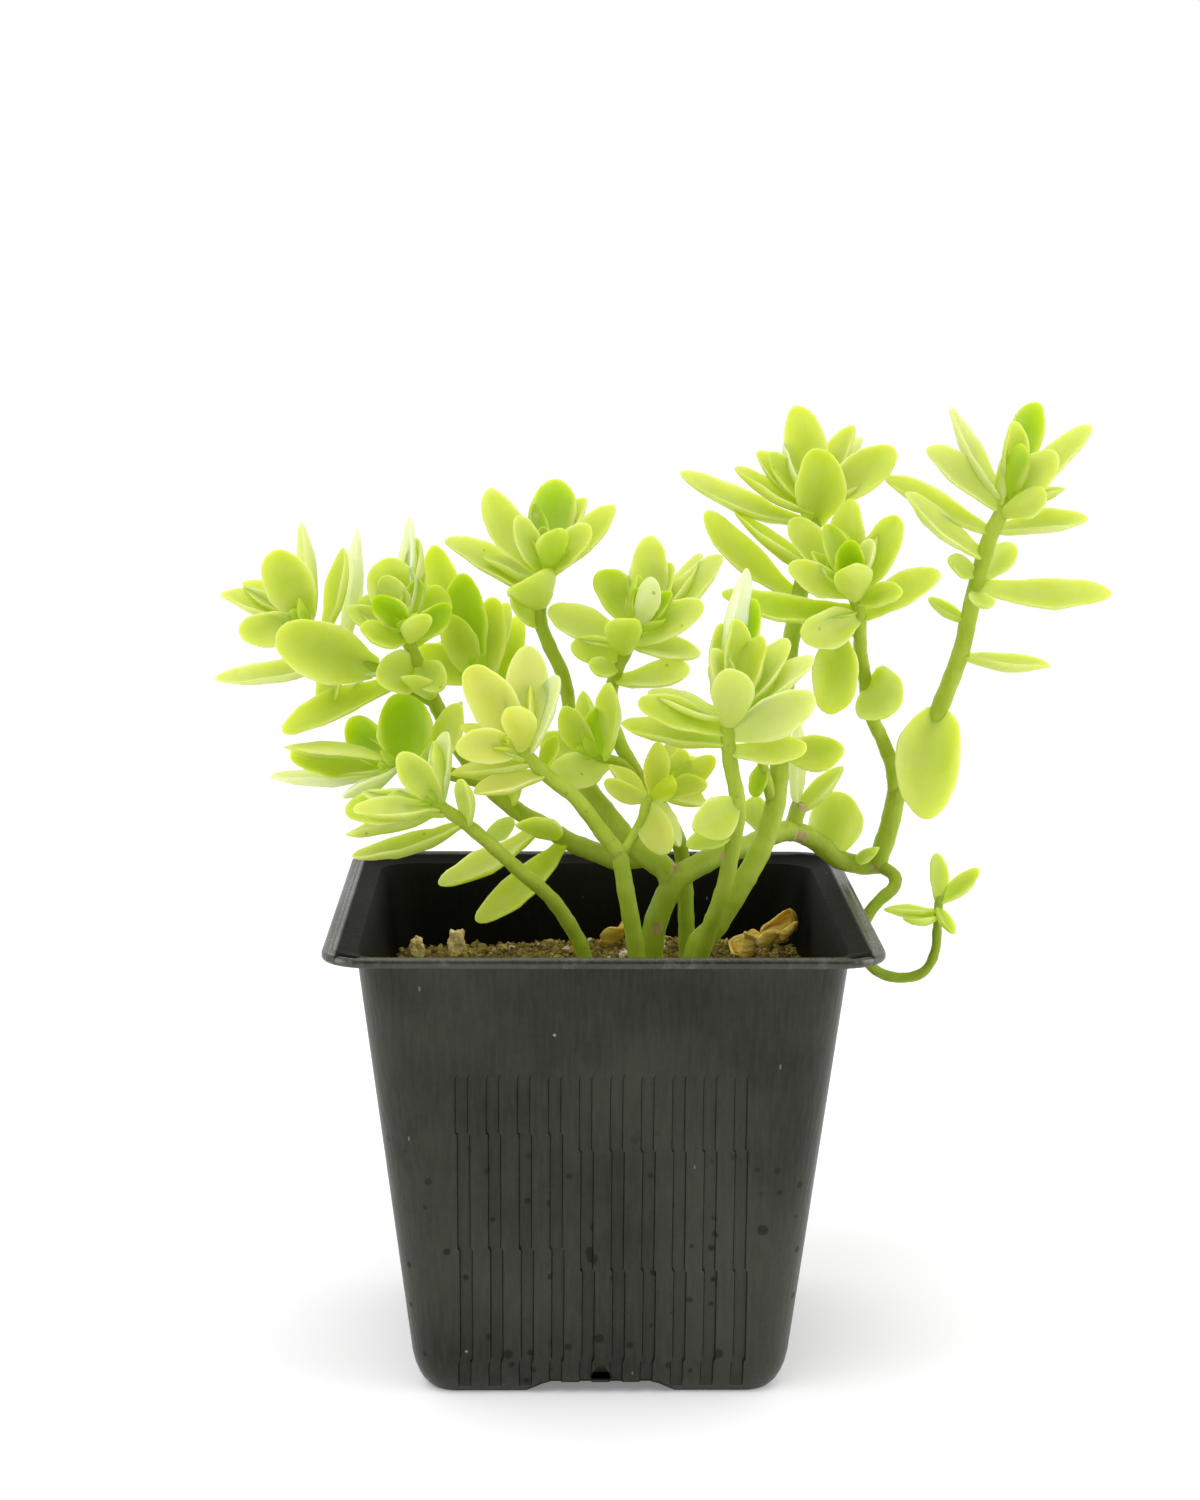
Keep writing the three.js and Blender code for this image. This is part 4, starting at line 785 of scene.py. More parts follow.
      [7.3, 127, 8.3, 141.6, 4, 6.2, 1, 0.05], [7.8, 126.5, 11.8, 137, 3, 4.4, 0, 0.05],
      [6.5, 127, -0.3, 135.8, 3, 6.4, 1, -0.5], [7, 126.5, 6, 132.8, -1, 2.6, 0, -1],
      [7.5, 126, 9.2, 134.3, -4, 3.4, 0, 0.6], [7.8, 125.5, 12, 132.3, -1, 2.6, 0, -0.7],
      [5.6, 124, -9.5, 129, -1, 4.6, 0, 0.1], [4.5, 122, -5.2, 122.6, -3, 5, 1, 0.1],
      [5, 122.5, 4.3, 127.4, -6, 5.8, 1, -0.1], [6.5, 123.5, 17.5, 130, -3, 5, 0, 0.2],
      [7.5, 125.5, 20.6, 138.5, 3, 4.6, 0, 0.1], [7.5, 125.5, 17.1, 138.7, 6, 2.6, 0, 0.2],
      [3.2, 120, -2, 119.2, -5, 3, 0, 0.1], [2.6, 118, 15.4, 118.6, -4, 3.2, 0, 0.35],
      [6, 124, 17, 121, -3, 3.6, 0, 0.4],
    ]},
    {"line": [
      [8, 98, -1], [4, 102, -3], [0, 103, -5], [-2, 104, -5.5],
    ], "radius": [1.1, 0.9], "crown": 2, "bud": 0.8, "leaves": [
      [-2, 104.5, -1, 112, -2, 4.2, 1, -0.9], [-2.5, 104.5, -6.3, 112.2, -3, 4.6, 0, 0.1],
      [-1, 103.5, 2, 116.2, -6, 3.8, 0, 0.1], [0.5, 103, -9.6, 99.4, -7, 5.6, 1, 0.3],
      [-2, 104, -3.2, 114.8, 1, 2.2, 0, -0.1], [-2.3, 104, -8, 101.8, 1, 3, 0, -1],
    ]},
  ]},
]
print("leaves in the plan:", sum(len(b["leaves"]) for s in SHOOTS for b in s["branches"]))

# %% [markdown]
# ## From sighted places to places in space
#
# A sighted place lies on the line from the camera through a point of the upright plane in
# the pot's middle. Going further along that line moves it back without moving it in the
# picture, which is how the depth of each branch was set.

# %% Turn a sighted place into a point
VIEWPOINT = np.array([-9.66, -491.4, 181.4])
SIGHT_SCALE = 0.991
SIGHT_DROP = 0.25


def placed(spot):
    across, up, back = spot
    on_plane = np.array([across * SIGHT_SCALE, 0.0, up * SIGHT_SCALE - SIGHT_DROP])
    return VIEWPOINT + (on_plane - VIEWPOINT) * (1 - back / VIEWPOINT[1])


TO_CAMERA = np.array([-0.02, -0.97, 0.22])


def unit(arrow):
    return arrow / np.linalg.norm(arrow)


def square_to(arrow, way):
    """The part of an arrow that is square to a way."""
    return arrow - way * (arrow @ way)


def foot_on(branch, across, up):
    """The nearest place on a branch's line, and the way the branch grows there."""
    best = None
    for near, far in zip(branch["line"], branch["line"][1:]):
        start, run = np.array(near, float), np.array(far, float) - np.array(near, float)
        step = np.array([across, up]) - start[:2]
        share = min(1.0, max(0.0, (step @ run[:2]) / (run[:2] @ run[:2])))
        place = start + run * share
        gap = np.hypot(across - place[0], up - place[1])
        if best is None or gap < best[0]:
            best = (gap, place, unit(placed(far) - placed(near)))
    return best[1], best[2]


print("top of the main shoot, mm:", np.round(placed((70, 150, 15)), 1))

# %% [markdown]
# ## How a leaf sits
#
# A leaf is seen with some width, but it may be wider and turned away. So each leaf gets
# its likely width and is rolled about its midrib until it shows the width seen. Of the two
# ways to do that, it takes the one that turns its upper face to the tip of its branch.

# %% Set each leaf's foot, way and faces
LEAN_SHARE = 1.5
SUNK = 1.2
TRUE_WIDTH = 0.4
WIDEST_LEAF = 6.2
BOW = 0.7


def leaf_on_sight(foot, tip, grows, seen_width):
    run = tip - foot
    length = np.linalg.norm(run)
    along = run / length
    sight = unit(foot - VIEWPOINT)
    across = unit(np.cross(along, sight))
    deep = np.cross(across, along)
    width = max(seen_width, min(TRUE_WIDTH * length, WIDEST_LEAF))
    roll = math.acos(min(1.0, seen_width / width))
    wanted = square_to(grows, along)
    best = None
    for turn in (roll, -roll):
        side = across * math.cos(turn) + deep * math.sin(turn)
        face = np.cross(side, along)
        match = face @ wanted
        if best is None or abs(match) > best[0]:
            best = (abs(match), side, -face if match < 0 else face)
    return dict(foot=foot, along=along, side=best[1], face=best[2], length=length, width=width)


def planned_leaves(branch):
    leaves = []
    for row in branch["leaves"]:
        across_foot, up_foot, across_tip, up_tip, lean, width, form, tone_and_painted_light = (row + [0, 0])[:8]
        place, grows = foot_on(branch, across_foot, up_foot)
        tip = placed((across_tip, up_tip, place[2] + lean * LEAN_SHARE))
        bows = unit(grows + TO_CAMERA * BOW)
        leaf = leaf_on_sight(placed(place) - grows * SUNK, tip, bows, width)
        leaves.append(dict(leaf, form=form, tone_and_painted_light=tone_and_painted_light, youth=0.0))
    return leaves


print("one leaf:", {k: np.round(v, 1) for k, v in planned_leaves(SHOOTS[0]["branches"][0])[0].items()})

# %% [markdown]
# ## Crowns and buds
#
# Behind each branch's end stands a fan of leaves that the camera doesn't reach. In its
# middle is the bud, where a stonecrop makes its new leaves one after the other. Each new
# leaf is set 137.5 degrees round from the last, the golden angle, so none stands right
# above another. The youngest are the smallest, the greenest and the most upright.

# %% Fan the crown leaves and wind up the buds
CROWN_SPREAD = 0.75
CROWN_TILTS = [0.95, 0.55, 0.8, 0.4, 1.05, 0.65]
CROWN_LENGTH = 11.0
CROWN_WIDTH = 5.2
CROWN_STEP = 0.7
GOLDEN_ANGLE = math.radians(137.5)
BUD_LEAVES = 9
# What a bud's youngest leaf has, and how much more the oldest has.
BUD_LENGTH, BUD_WIDTH, BUD_TILT = (2.4, 4.2), (1.5, 1.7), (0.12, 0.62)


def tilted_leaf(top, grows, out, tilt, length, width, down):
    way = grows * math.cos(tilt) + out * math.sin(tilt)
    side = unit(np.cross(way, out))
    face = np.cross(side, way)
    return dict(foot=top - grows * down, along=way, side=side, length=length, width=width,
                face=-face if face @ grows < 0 else face, form=0.0, tone_and_painted_light=0.0, youth=0.0)


def branch_end(branch):
    top = placed(branch["line"][-1])
    grows = unit(top - placed(branch["line"][-2]))
    back = unit(square_to(np.array([0.0, 1.0, 0.0]), grows))
    return top, grows, back, np.cross(grows, back)


def crown_leaves(branch):
    top, grows, back, aside = branch_end(branch)
    leaves = []
    for k in range(branch.get("crown", 0)):
        turn = (k - (branch["crown"] - 1) / 2) * CROWN_SPREAD
        out = back * math.cos(turn) + aside * math.sin(turn)
        tilt = CROWN_TILTS[k % len(CROWN_TILTS)]
        leaves.append(tilted_leaf(top, grows, out, tilt, CROWN_LENGTH, CROWN_WIDTH, SUNK + CROWN_STEP * k))
    return leaves


def bud_leaves(branch):
    size = branch.get("bud", 0)
    if not size:
        return []
    top, grows, back, aside = branch_end(branch)
    grows = unit(grows + TO_CAMERA * (BOW if size == 1 else 0))
    back = unit(square_to(back, grows))
    aside = np.cross(grows, back)
    leaves = []
    for k in range(BUD_LEAVES):
        turn = k * GOLDEN_ANGLE
        out = back * math.cos(turn) + aside * math.sin(turn)
        age = k / (BUD_LEAVES - 1)
        tilt, length, width = (least + more * age for least, more in (BUD_TILT, BUD_LENGTH, BUD_WIDTH))
        leaf = tilted_leaf(top, grows, out, tilt, length * size, width * size, (0.3 * k - 0.6) * size)
        leaves.append(dict(leaf, youth=1.0 - 0.45 * age))
    return leaves


def leaves_of(shoot):
    return [leaf for branch in shoot["branches"]
            for leaf in planned_leaves(branch) + crown_leaves(branch) + bud_leaves(branch)]


print("leaves on each shoot:", {s["name"]: len(leaves_of(s)) for s in SHOOTS})

# %% [markdown]
# ## One tree for all leaves
#
# Modelling each leaf by hand would take days, and copies of one leaf would look copied.
# Instead, a Geometry Nodes tree puts a closed round body at each leaf's foot and then
# moves its points. How far along a point was on the round body says how broad and thick
# the leaf is there, as drawn in three profiles. Each leaf has its own length, width, bend
# and twist, kept on its starting point.

# %% Draw the leaf tree
SLENDER_OUTLINE = [(0.0, 1.2), (0.06, 0.92), (0.13, 0.72), (0.25, 0.76), (0.45, 0.92), (0.66, 1.03),
                   (0.85, 1.08), (1.0, 1.05)]
OVAL_OUTLINE = [(0.0, 1.1), (0.06, 0.88), (0.13, 0.74), (0.25, 0.84), (0.45, 0.97), (0.66, 1.05),
                (0.85, 1.18), (1.0, 1.22)]
FULL_OUTLINE = [(0.0, 0.9), (0.06, 1.15), (0.16, 1.16), (0.3, 1.02), (0.6, 1.0), (0.85, 1.08), (1.0, 1.1)]
THICKNESS = [(0.0, 0.95), (0.2, 0.72), (0.6, 0.62), (0.85, 0.55), (1.0, 0.5)]
BROADEST = 1.12
BELOW, ABOVE = 0.62, 0.36
REACH = 0.994
DROOP = 0.07


def leaf_tree():
    bench, given = geometry_tree("leaves_on_their_places", {
        "Sides": 18, "Rings": 16, "Waviness": 0.00055, "Cup": 0.3, "Finish": LEAF_GREEN})
    ball = bench.made("GeometryNodeMeshUVSphere", "Mesh", {
        "Segments": given["Sides"], "Rings": given["Rings"], "Radius": 1.0})
    kept = bench.kept(ball, "on_ball", bench.made("GeometryNodeInputPosition", "Position"), "FLOAT_VECTOR")
    spread = bench.made("GeometryNodeInstanceOnPoints", "Instances", {
        "Points": given["Geometry"], "Instance": kept})
    real = bench.made("GeometryNodeRealizeInstances", "Geometry", {0: spread})
    across, over, height = bench.parts(bench.read("on_ball", "FLOAT_VECTOR"))
    length, width, thick = bench.parts(bench.read("leaf_size", "FLOAT_VECTOR"))
    form, twist, bend = bench.parts(bench.read("leaf_form", "FLOAT_VECTOR"))
    foot, along, side, face = (bench.read("leaf_" + name, "FLOAT_VECTOR")
                               for name in ("foot", "along", "side", "face"))
    share = height * 0.5 + 0.5
    ballness = bench.maths("SQRT", bench.maths("MAXIMUM", 1.0 - height * height, 0.0001))
    oval, full = bench.maths("MINIMUM", form, 1.0), bench.maths("MAXIMUM", form - 1.0, 0.0)
    outline = bench.between(oval, bench.profile(share, SLENDER_OUTLINE), bench.profile(share, OVAL_OUTLINE))
    outline = bench.between(full, outline, bench.profile(share, FULL_OUTLINE))
    turn = twist * share
    turned_side = side * bench.maths("COSINE", turn) + face * bench.maths("SINE", turn)
    turned_face = face * bench.maths("COSINE", turn) - side * bench.maths("SINE", turn)
    out = across * outline * width * (0.5 * BROADEST)
    upper = bench.maths("GREATER_THAN", over, 0.0)
    plump = bench.maths("SIGN", over) * bench.maths("POWER", bench.maths("ABSOLUTE", over), 0.8)
    rise = plump * bench.between(upper, BELOW, ABOVE) * thick * bench.profile(share, THICKNESS) * 1.5
    cup = across * across * outline * width * given["Cup"]
    groove = upper * bench.ramp(bench.maths("ABSOLUTE", across), 0.0, 0.3, 0.1, 0.0) * ballness * thick
    arch = bench.maths("SINE", share * math.pi)
    place = (foot + along * (length * share * REACH) + turned_side * (out + bend * length * arch)
             + turned_face * (rise + cup - groove) - face * (length * arch * DROOP))
    ripple = bench.made("ShaderNodeTexNoise", "Color", {"Vector": place, "Scale": 210.0, "Detail": 1.5})
    place = place + bench.maths("SUBTRACT", ripple, (0.5, 0.5, 0.5)) * (given["Waviness"] * 2.0)
    moved = bench.made("GeometryNodeSetPosition", "Geometry", {"Geometry": real, "Position": place})
    spot = bench.made("ShaderNodeCombineXYZ", "Vector", {"X": across, "Y": over, "Z": share})
    end_tree(bench, bench.kept(moved, "leaf_place", spot, "FLOAT_VECTOR"), given["Finish"])
    return bench


LEAF_TREE = leaf_tree()
print("leaf tree:", len(LEAF_TREE.tree.nodes), "nodes")


# %% [markdown]
# ## Leaves for one shoot
#
# The tree starts from bare points, one at each leaf's foot. Small differences between the
# leaves come from a random generator with a fixed seed, so that every run gives the same
# plant.

# %% Put a shoot's leaves on their points
LEAF_THICK = 1.6
BUD_THICK = 1.1
DRY_RIMS = 0.05
TWIST, BEND, TONE_SPREAD = 0.25, 0.055, 0.15


def leaf_points(shoot, seed):
    leaves = leaves_of(shoot)
    chance = np.random.default_rng(seed)
    count = len(leaves)
    mesh = bpy.data.meshes.new(shoot["name"] + "_feet")
    mesh.from_pydata([tuple(leaf["foot"] * MM + POT_MIDDLE) for leaf in leaves], [], [])
    for name, key in (("leaf_along", "along"), ("leaf_side", "side"), ("leaf_face", "face")):
        note_on_points(mesh, name, [leaf[key] for leaf in leaves])
    note_on_points(mesh, "leaf_foot", [leaf["foot"] * MM + POT_MIDDLE for leaf in leaves])
    youth = np.array([leaf["youth"] for leaf in leaves])
    thick = np.where(youth > 0, BUD_THICK, LEAF_THICK) * chance.uniform(0.9, 1.1, count)
    sizes = [(leaf["length"] * MM, leaf["width"] * MM, t * MM) for leaf, t in zip(leaves, thick)]
    note_on_points(mesh, "leaf_size", sizes)
    twist, bend = chance.uniform(-TWIST, TWIST, count), chance.uniform(-BEND, BEND, count)
    form = [max(leaf["form"], min(1.0, max(0.0, 1.6 - leaf["length"] / 11))) for leaf in leaves]
    note_on_points(mesh, "leaf_form", np.stack([form, twist, bend], axis=1))
    # The tone is partly each leaf's own colour and partly painted light and shade, with a little random
    # spread.
    tone_and_painted_light = np.array([leaf["tone_and_painted_light"] for leaf in leaves]) + chance.uniform(-TONE_SPREAD, TONE_SPREAD, count)
    short = np.array([max(0.0, 1.1 - leaf["length"] / 12) for leaf in leaves])
    dry = np.where(chance.random(count) < DRY_RIMS, chance.uniform(0.15, 0.5, count), 0.0)
    look = np.stack([tone_and_painted_light, dry * (youth == 0), np.maximum(youth, short)], axis=1)
    note_on_points(mesh, "leaf_look", look)
    return mesh


print("points of the first shoot:", len(leaf_points(SHOOTS[0], 1).vertices))

# %% [markdown]
# ## One tree for the stems
#
# A stem is a tube along a smooth path. The tree rounds off the sighted line, gives it a
# radius at each point, sweeps a circle along it and closes its ends. Then it raises the
# skin a little where leaves once grew, every few millimetres, and roughens it.

# %% Draw the stem tree
def stem_tree():
    bench, given = geometry_tree("stems_along_their_lines", {
        "Sides": 14, "Step": 0.0008, "Joint Step": 0.0046, "Joint Rise": 0.0001, "Unevenness": 0.00016,
        "Finish": STEM_GREEN})
    line = bench.made("GeometryNodeMeshToCurve", "Curve", {"Mesh": given["Geometry"]})
    smooth = bench.made("GeometryNodeCurveSplineType", "Curve", {"Curve": line}, spline_type="CATMULL_ROM")
    even = bench.made("GeometryNodeResampleCurve", "Curve", {
        "Curve": smooth, "Length": given["Step"]}, mode="LENGTH")
    told = bench.kept(even, "run", bench.made("GeometryNodeSplineParameter", "Length"), "FLOAT")
    ring = bench.made("GeometryNodeCurvePrimitiveCircle", "Curve", {
        "Resolution": given["Sides"], "Radius": 1.0}, mode="RADIUS")
    skin = bench.made("GeometryNodeCurveToMesh", "Mesh", {
        "Curve": told, "Profile Curve": ring, "Scale": bench.read("thick", "FLOAT"), "Fill Caps": True})
    turns = bench.read("run", "FLOAT") * bench.maths("DIVIDE", math.tau, given["Joint Step"])
    joint = bench.maths("POWER", bench.maths("COSINE", turns) * 0.5 + 0.5, 6.0)
    lumps = bench.made("ShaderNodeTexNoise", "Fac", {
        "Vector": bench.made("GeometryNodeInputPosition", "Position"), "Scale": 420.0, "Detail": 2.0})
    rise = (lumps - 0.5) * given["Unevenness"] * 2.0 + joint * given["Joint Rise"]
    normal = bench.made("GeometryNodeInputNormal", "Normal")
    moved = bench.made("GeometryNodeSetPosition", "Geometry", {"Geometry": skin, "Offset": normal * rise})
    end_tree(bench, moved, given["Finish"])
    return bench


STEM_TREE = stem_tree()
print("stem tree:", len(STEM_TREE.tree.nodes), "nodes")


# %% [markdown]
# ## The lines of one shoot
#
# The tree for the stems starts from bare edges, one run of them for each branch. Every
# point keeps the branch's radius there, which tapers evenly from one end to the other.

# %% Lay the lines of a shoot's branches
def stem_lines(shoot):
    points, edges, radii = [], [], []
    for branch in shoot["branches"]:
        first = len(points)
        count = len(branch["line"])
        points += [tuple(placed(spot) * MM + POT_MIDDLE) for spot in branch["line"]]
        edges += [(first + i, first + i + 1) for i in range(count - 1)]
        radii += list(np.linspace(*branch["radius"], count) * MM)
    mesh = bpy.data.meshes.new(shoot["name"] + "_lines")
    mesh.from_pydata(points, edges, [])
    note_on_points(mesh, "thick", radii)
    return mesh


print("lines of the main shoot:", len(stem_lines(SHOOTS[2]).edges), "edges")

# %% [markdown]
# ## Scars and a darker foot
#
# The real stems have brown patches in known places: low on the main trunk, where
# a limb leaves it, and on a stub whose shoot is gone. Each is a place and a reach, and
# every point of the stem keeps how near it lies to one. The lowest stretch of the stems
# is a darker green, more so towards the foot.

# %% Mark the scars on a stem
SCARS = [
    ((12.5, 83.5, -7.5), 2.6), ((9.8, 73.5, -9.5), 1.7), ((21, 86.3, -3), 1.5), ((34.5, 89.3, 11), 2.4),
    ((34.6, 95.3, 12), 2.6), ((47.5, 77.5, 14), 1.6), ((47.6, 84, 18.5), 1.3), ((52, 82, 17.5), 1.2),
]
DARKER_BELOW, DARKER_FADE = 92.0, 25


def mark_scars(stems):
    places = np.empty(len(stems.data.vertices) * 3)
    stems.data.vertices.foreach_get("co", places)
    places = (places.reshape(-1, 3) - POT_MIDDLE) / MM
    scar = np.zeros(len(places))
    for spot, reach in SCARS:
        near = np.linalg.norm(places - placed(spot), axis=1)
        scar = np.maximum(scar, np.clip(1.25 - near / reach, 0, 1))
    note_on_points(stems.data, "scar", scar)
    note_on_points(stems.data, "darker_low", np.clip((DARKER_BELOW - places[:, 2]) / DARKER_FADE, 0, 1))


print("scars:", len(SCARS))

# %% [markdown]
# ## Put the shoots together
#
# A shoot's leaves and stems become one piece, which takes the place of the frame's solid
# for that shoot.

# %% Grow the five shoots
YELLOW_SHOOTS = {"shoot_front_middle"}


def joined(name, parts):
    """Several plain meshes as one piece, each keeping its finish."""
    bpy.ops.object.select_all(action="DESELECT")
    for part in parts:
        part.select_set(True)
    bpy.context.view_layer.objects.active = parts[0]
    bpy.ops.object.join()
    parts[0].name = name
    parts[0].data.name = name
    return parts[0]


def triangles(piece):
    return sum(len(face.vertices) - 2 for face in piece.data.polygons)


for seed, shoot in enumerate(SHOOTS):
    yellow = shoot["name"] in YELLOW_SHOOTS
    finish = LEAF_YELLOW if yellow else LEAF_GREEN
    leaves = worked("leaves", leaf_points(shoot, seed), LEAF_TREE, finish=finish)
    stems = worked("stems", stem_lines(shoot), STEM_TREE)
    mark_scars(stems)
    piece = joined(shoot["name"].replace("shoot_", "leafy_shoot_"), [leaves, stems])
    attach(piece, "root")
    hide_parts(shoot["name"])
    print(piece.name, triangles(piece), "triangles")

# %% [markdown]
# ## The black plastic finish
#
# Cheap nursery pots are pressed from recycled plastic. Seen close, it is a very dark olive
# grey with a soft sheen, cloudy patches, fine upright drag marks from the mould, pale
# scuffs and specks of lime, and darker round stains where drops have dried. Inside the
# mouth the plastic is painted near black and shines less, which is painted shade. The rim
# has lighter streaks, partly wipe marks and partly a painted sheen of light through the
# thin flange.

# %% Mix the pot finish
STAINED_ABOVE, STAINED_BELOW = 0.056, 0.03
MOUTH_OUT, MOUTH_IN = 0.0429, 0.0424
RIM_FOOT, RIM_HEAD = 0.0745, 0.0755


def pot_finish():
    finish = Finish("black_pot_plastic")
    finish.shader.inputs["Specular Tint"].default_value = (1.0, 1.0, 0.87, 1)
    outer = finish.noted("outer")[1]
    broad = finish.use(MOTTLING, scale=14.0, low=0.35, high=0.65)
    clouds = finish.use(MOTTLING, scale=38.0, low=0.3, high=0.7)
    fine = finish.use(MOTTLING, scale=900.0, low=0.3, high=0.7)
    drag = finish.use(MOTTLING, finish.stretched((1.0, 1.0, 0.03)), scale=1400.0, low=0.3, high=0.75)
    # Streaks along the rim: partly wipe marks, partly a painted sheen of light through the thin flange.
    wiped_and_painted_sheen = finish.use(MOTTLING, finish.stretched((1.0, 0.12, 1.0)), scale=480.0, low=0.5, high=0.8)
    stains = finish.use(SPECKS, scale=300.0, size=0.22, share=0.4)
    rings = finish.use(SPECKS, scale=150.0, size=0.17, share=0.3)
    lime = finish.use(SPECKS, scale=210.0, size=0.07, share=0.08)
    scuffs = finish.use(SPECKS, finish.stretched((1.0, 1.0, 0.35)), scale=520.0, size=0.1, share=0.06)
    marks = finish.maths("MAXIMUM", lime, scuffs * 0.5)
    x, y, height = finish.parts(finish.place)
    damp = finish.maths("MAXIMUM", stains, rings) * finish.ramp(height, STAINED_ABOVE, STAINED_BELOW) * 0.7
    reach = finish.maths("MAXIMUM", finish.maths("ABSOLUTE", x - POT_MIDDLE[0]),
                         finish.maths("ABSOLUTE", y - POT_MIDDLE[1]))
    # Painted shade: the inside of the mouth is darkened and given less shine.
    inside_painted_shade = (1.0 - outer) * finish.ramp(reach, MOUTH_OUT, MOUTH_IN)
    rim = finish.ramp(height, RIM_FOOT, RIM_HEAD) * (1.0 - inside_painted_shade)
    paleness = clouds * 0.6 + fine * 0.25 + drag * 0.15
    colour = finish.tint(paleness, (0.0045, 0.005, 0.0025), (0.019, 0.0205, 0.0115))
    # These tints add painted shade inside the mouth and the partly painted sheen on the rim, as well as the
    # real stains and marks.
    for share, marked in (
        (damp * 0.8, (0.0035, 0.0033, 0.0028)), (inside_painted_shade * 0.8, (0.002, 0.002, 0.001)),
        (wiped_and_painted_sheen * rim * 0.35, (0.16, 0.165, 0.13)), (marks * 0.6, (0.42, 0.42, 0.38)),
    ):
        colour = finish.tint(share, colour, marked)
    shine = 0.24 + broad * 0.12 + clouds * 0.12 + drag * 0.08 + rim * 0.35
    # Less shine inside the mouth belongs to the painted shade there.
    shine = shine * (1.0 - damp * 0.65) * (1.0 - inside_painted_shade * 0.8)
    finish.join(shine, finish.shader.inputs["Specular IOR Level"])
    roughness = 0.27 + clouds * 0.1 + drag * 0.1 + marks * 0.2 + damp * 0.2 + inside_painted_shade * 0.3 - rim * 0.06
    grain = finish.use(FINE_GRAIN, scale=1500.0, coarse=0.5)
    return finish.done(colour, roughness, grain * 0.6 + drag * 0.5, 0.00006)


POT_PLASTIC = pot_finish()
print("pot finish:", POT_PLASTIC.name)


# %% [markdown]
# ## The pot's shell
#
# The pot is a thin shell: a tapered box with round corners, a flat rim that sticks out and
# has a shallow channel along it, and a foot that curves in. It is built as a stack of
# rounded squares, up the outside, over the rim and down the inside. The stack has extra
# upright lines where the ribs will be pressed in, so that their edges come out crisp.

# %% Stack the rounded squares
RIM_TOP, RIM_HALF, MOUTH_HALF = 77.2, 45.0, 42.7
WALL_TOP_HALF, WALL_FOOT_HALF, WALL_FOOT_Z = 39.9, 31.4, 6.0
WALL_CORNER, WALL_THICK, INNER_CORNER = 7.0, 1.1, 5.9
FLOOR_Z = 3.3
RIBS, RIB_PITCH, RIB_HALF = 10, 5.0, 1.0
CORNER_STEPS = 12
FOOT_CURVE = [(27.4, 4.3, 0.1), (27.9, 4.5, 0), (28.5, 4.8, 0.1), (28.9, 5, 0.5), (29.6, 5.4, 1.3),
              (30.3, 6, 2.5), (30.95, 6.6, 4.1)]
WALL_ROWS = [6, 6.6, 7.4, 12, 22.2, 22.6, 26.0, 26.4, 30, 36, 43.2, 43.6, 46.2, 46.6, 50, 55.8, 56.6, 63, 70,
             74.4]
UNDER_RIM = [(0.05, 2.3), (0.3, 1.8), (0.9, 1.52)]
RIM_CURVE = [(43.2, 8, 1.5), (44.4, 8, 1.52), (44.8, 8, 1.4), (RIM_HALF, 8, 1.05), (RIM_HALF, 8, 0.5),
             (44.9, 8, 0.2), (44.65, 8, 0), (44.35, 8, 0.05), (44.05, 7.9, 0.36), (43.55, 7.8, 0.38),
             (43.25, 7.6, 0.06), (43, 7.4, 0), (MOUTH_HALF, 7, 0.12), (MOUTH_HALF - 0.35, 7, 0.5)]


def wall_half(z):
    share = (z - WALL_FOOT_Z) / (RIM_TOP - WALL_FOOT_Z)
    return WALL_FOOT_HALF + share * (WALL_TOP_HALF - WALL_FOOT_HALF)


def shell_levels():
    """Half width, corner and height of each square: those outside, then those of rim and inside."""
    outside = FOOT_CURVE + [(wall_half(z), WALL_CORNER, z) for z in WALL_ROWS]
    outside += [(WALL_TOP_HALF + out, WALL_CORNER, RIM_TOP - down) for out, down in UNDER_RIM]
    inside = [(half, corner, RIM_TOP - down) for half, corner, down in RIM_CURVE]
    inside.append((wall_half(RIM_TOP - 1.4) - 0.2, 6.6, RIM_TOP - 1.3))
    inside += [(wall_half(z) - WALL_THICK, INNER_CORNER, z) for z in (RIM_TOP - 3, 66, 55, 40, 20, 6)]
    inside.append((wall_half(FLOOR_Z + 0.6) - WALL_THICK - 0.4, 5.7, FLOOR_Z + 0.6))
    inside.append((wall_half(FLOOR_Z) - 2.1, 5.5, FLOOR_Z))
    return outside, inside


def straight_places():
    """Places along one side: two lines at each edge of a rib, and some between."""
    places = {0.0}
    for rib in range(RIBS):
        middle = (rib - (RIBS - 1) / 2) * RIB_PITCH
        places |= {middle + s * (RIB_HALF + d) for s in (-1, 1) for d in (-0.1, 0.1)}
        places |= {middle, middle + RIB_PITCH / 2}
    return sorted(p for p in places if abs(p) < 24)


def square_ring(half, corner, z):
    points = []
    for side in range(4):
        turn = side * math.pi / 2
        flat = half - corner
        edge = [(min(max(p, -flat), flat), -half) for p in straight_places()]
        for step in range(CORNER_STEPS + 1):
            angle = -math.pi / 2 + step / CORNER_STEPS * math.pi / 2
            edge.append((flat + corner * math.cos(angle), -flat + corner * math.sin(angle)))
        points += [(x * math.cos(turn) - y * math.sin(turn), x * math.sin(turn) + y * math.cos(turn), z)
                   for x, y in edge]
    return points


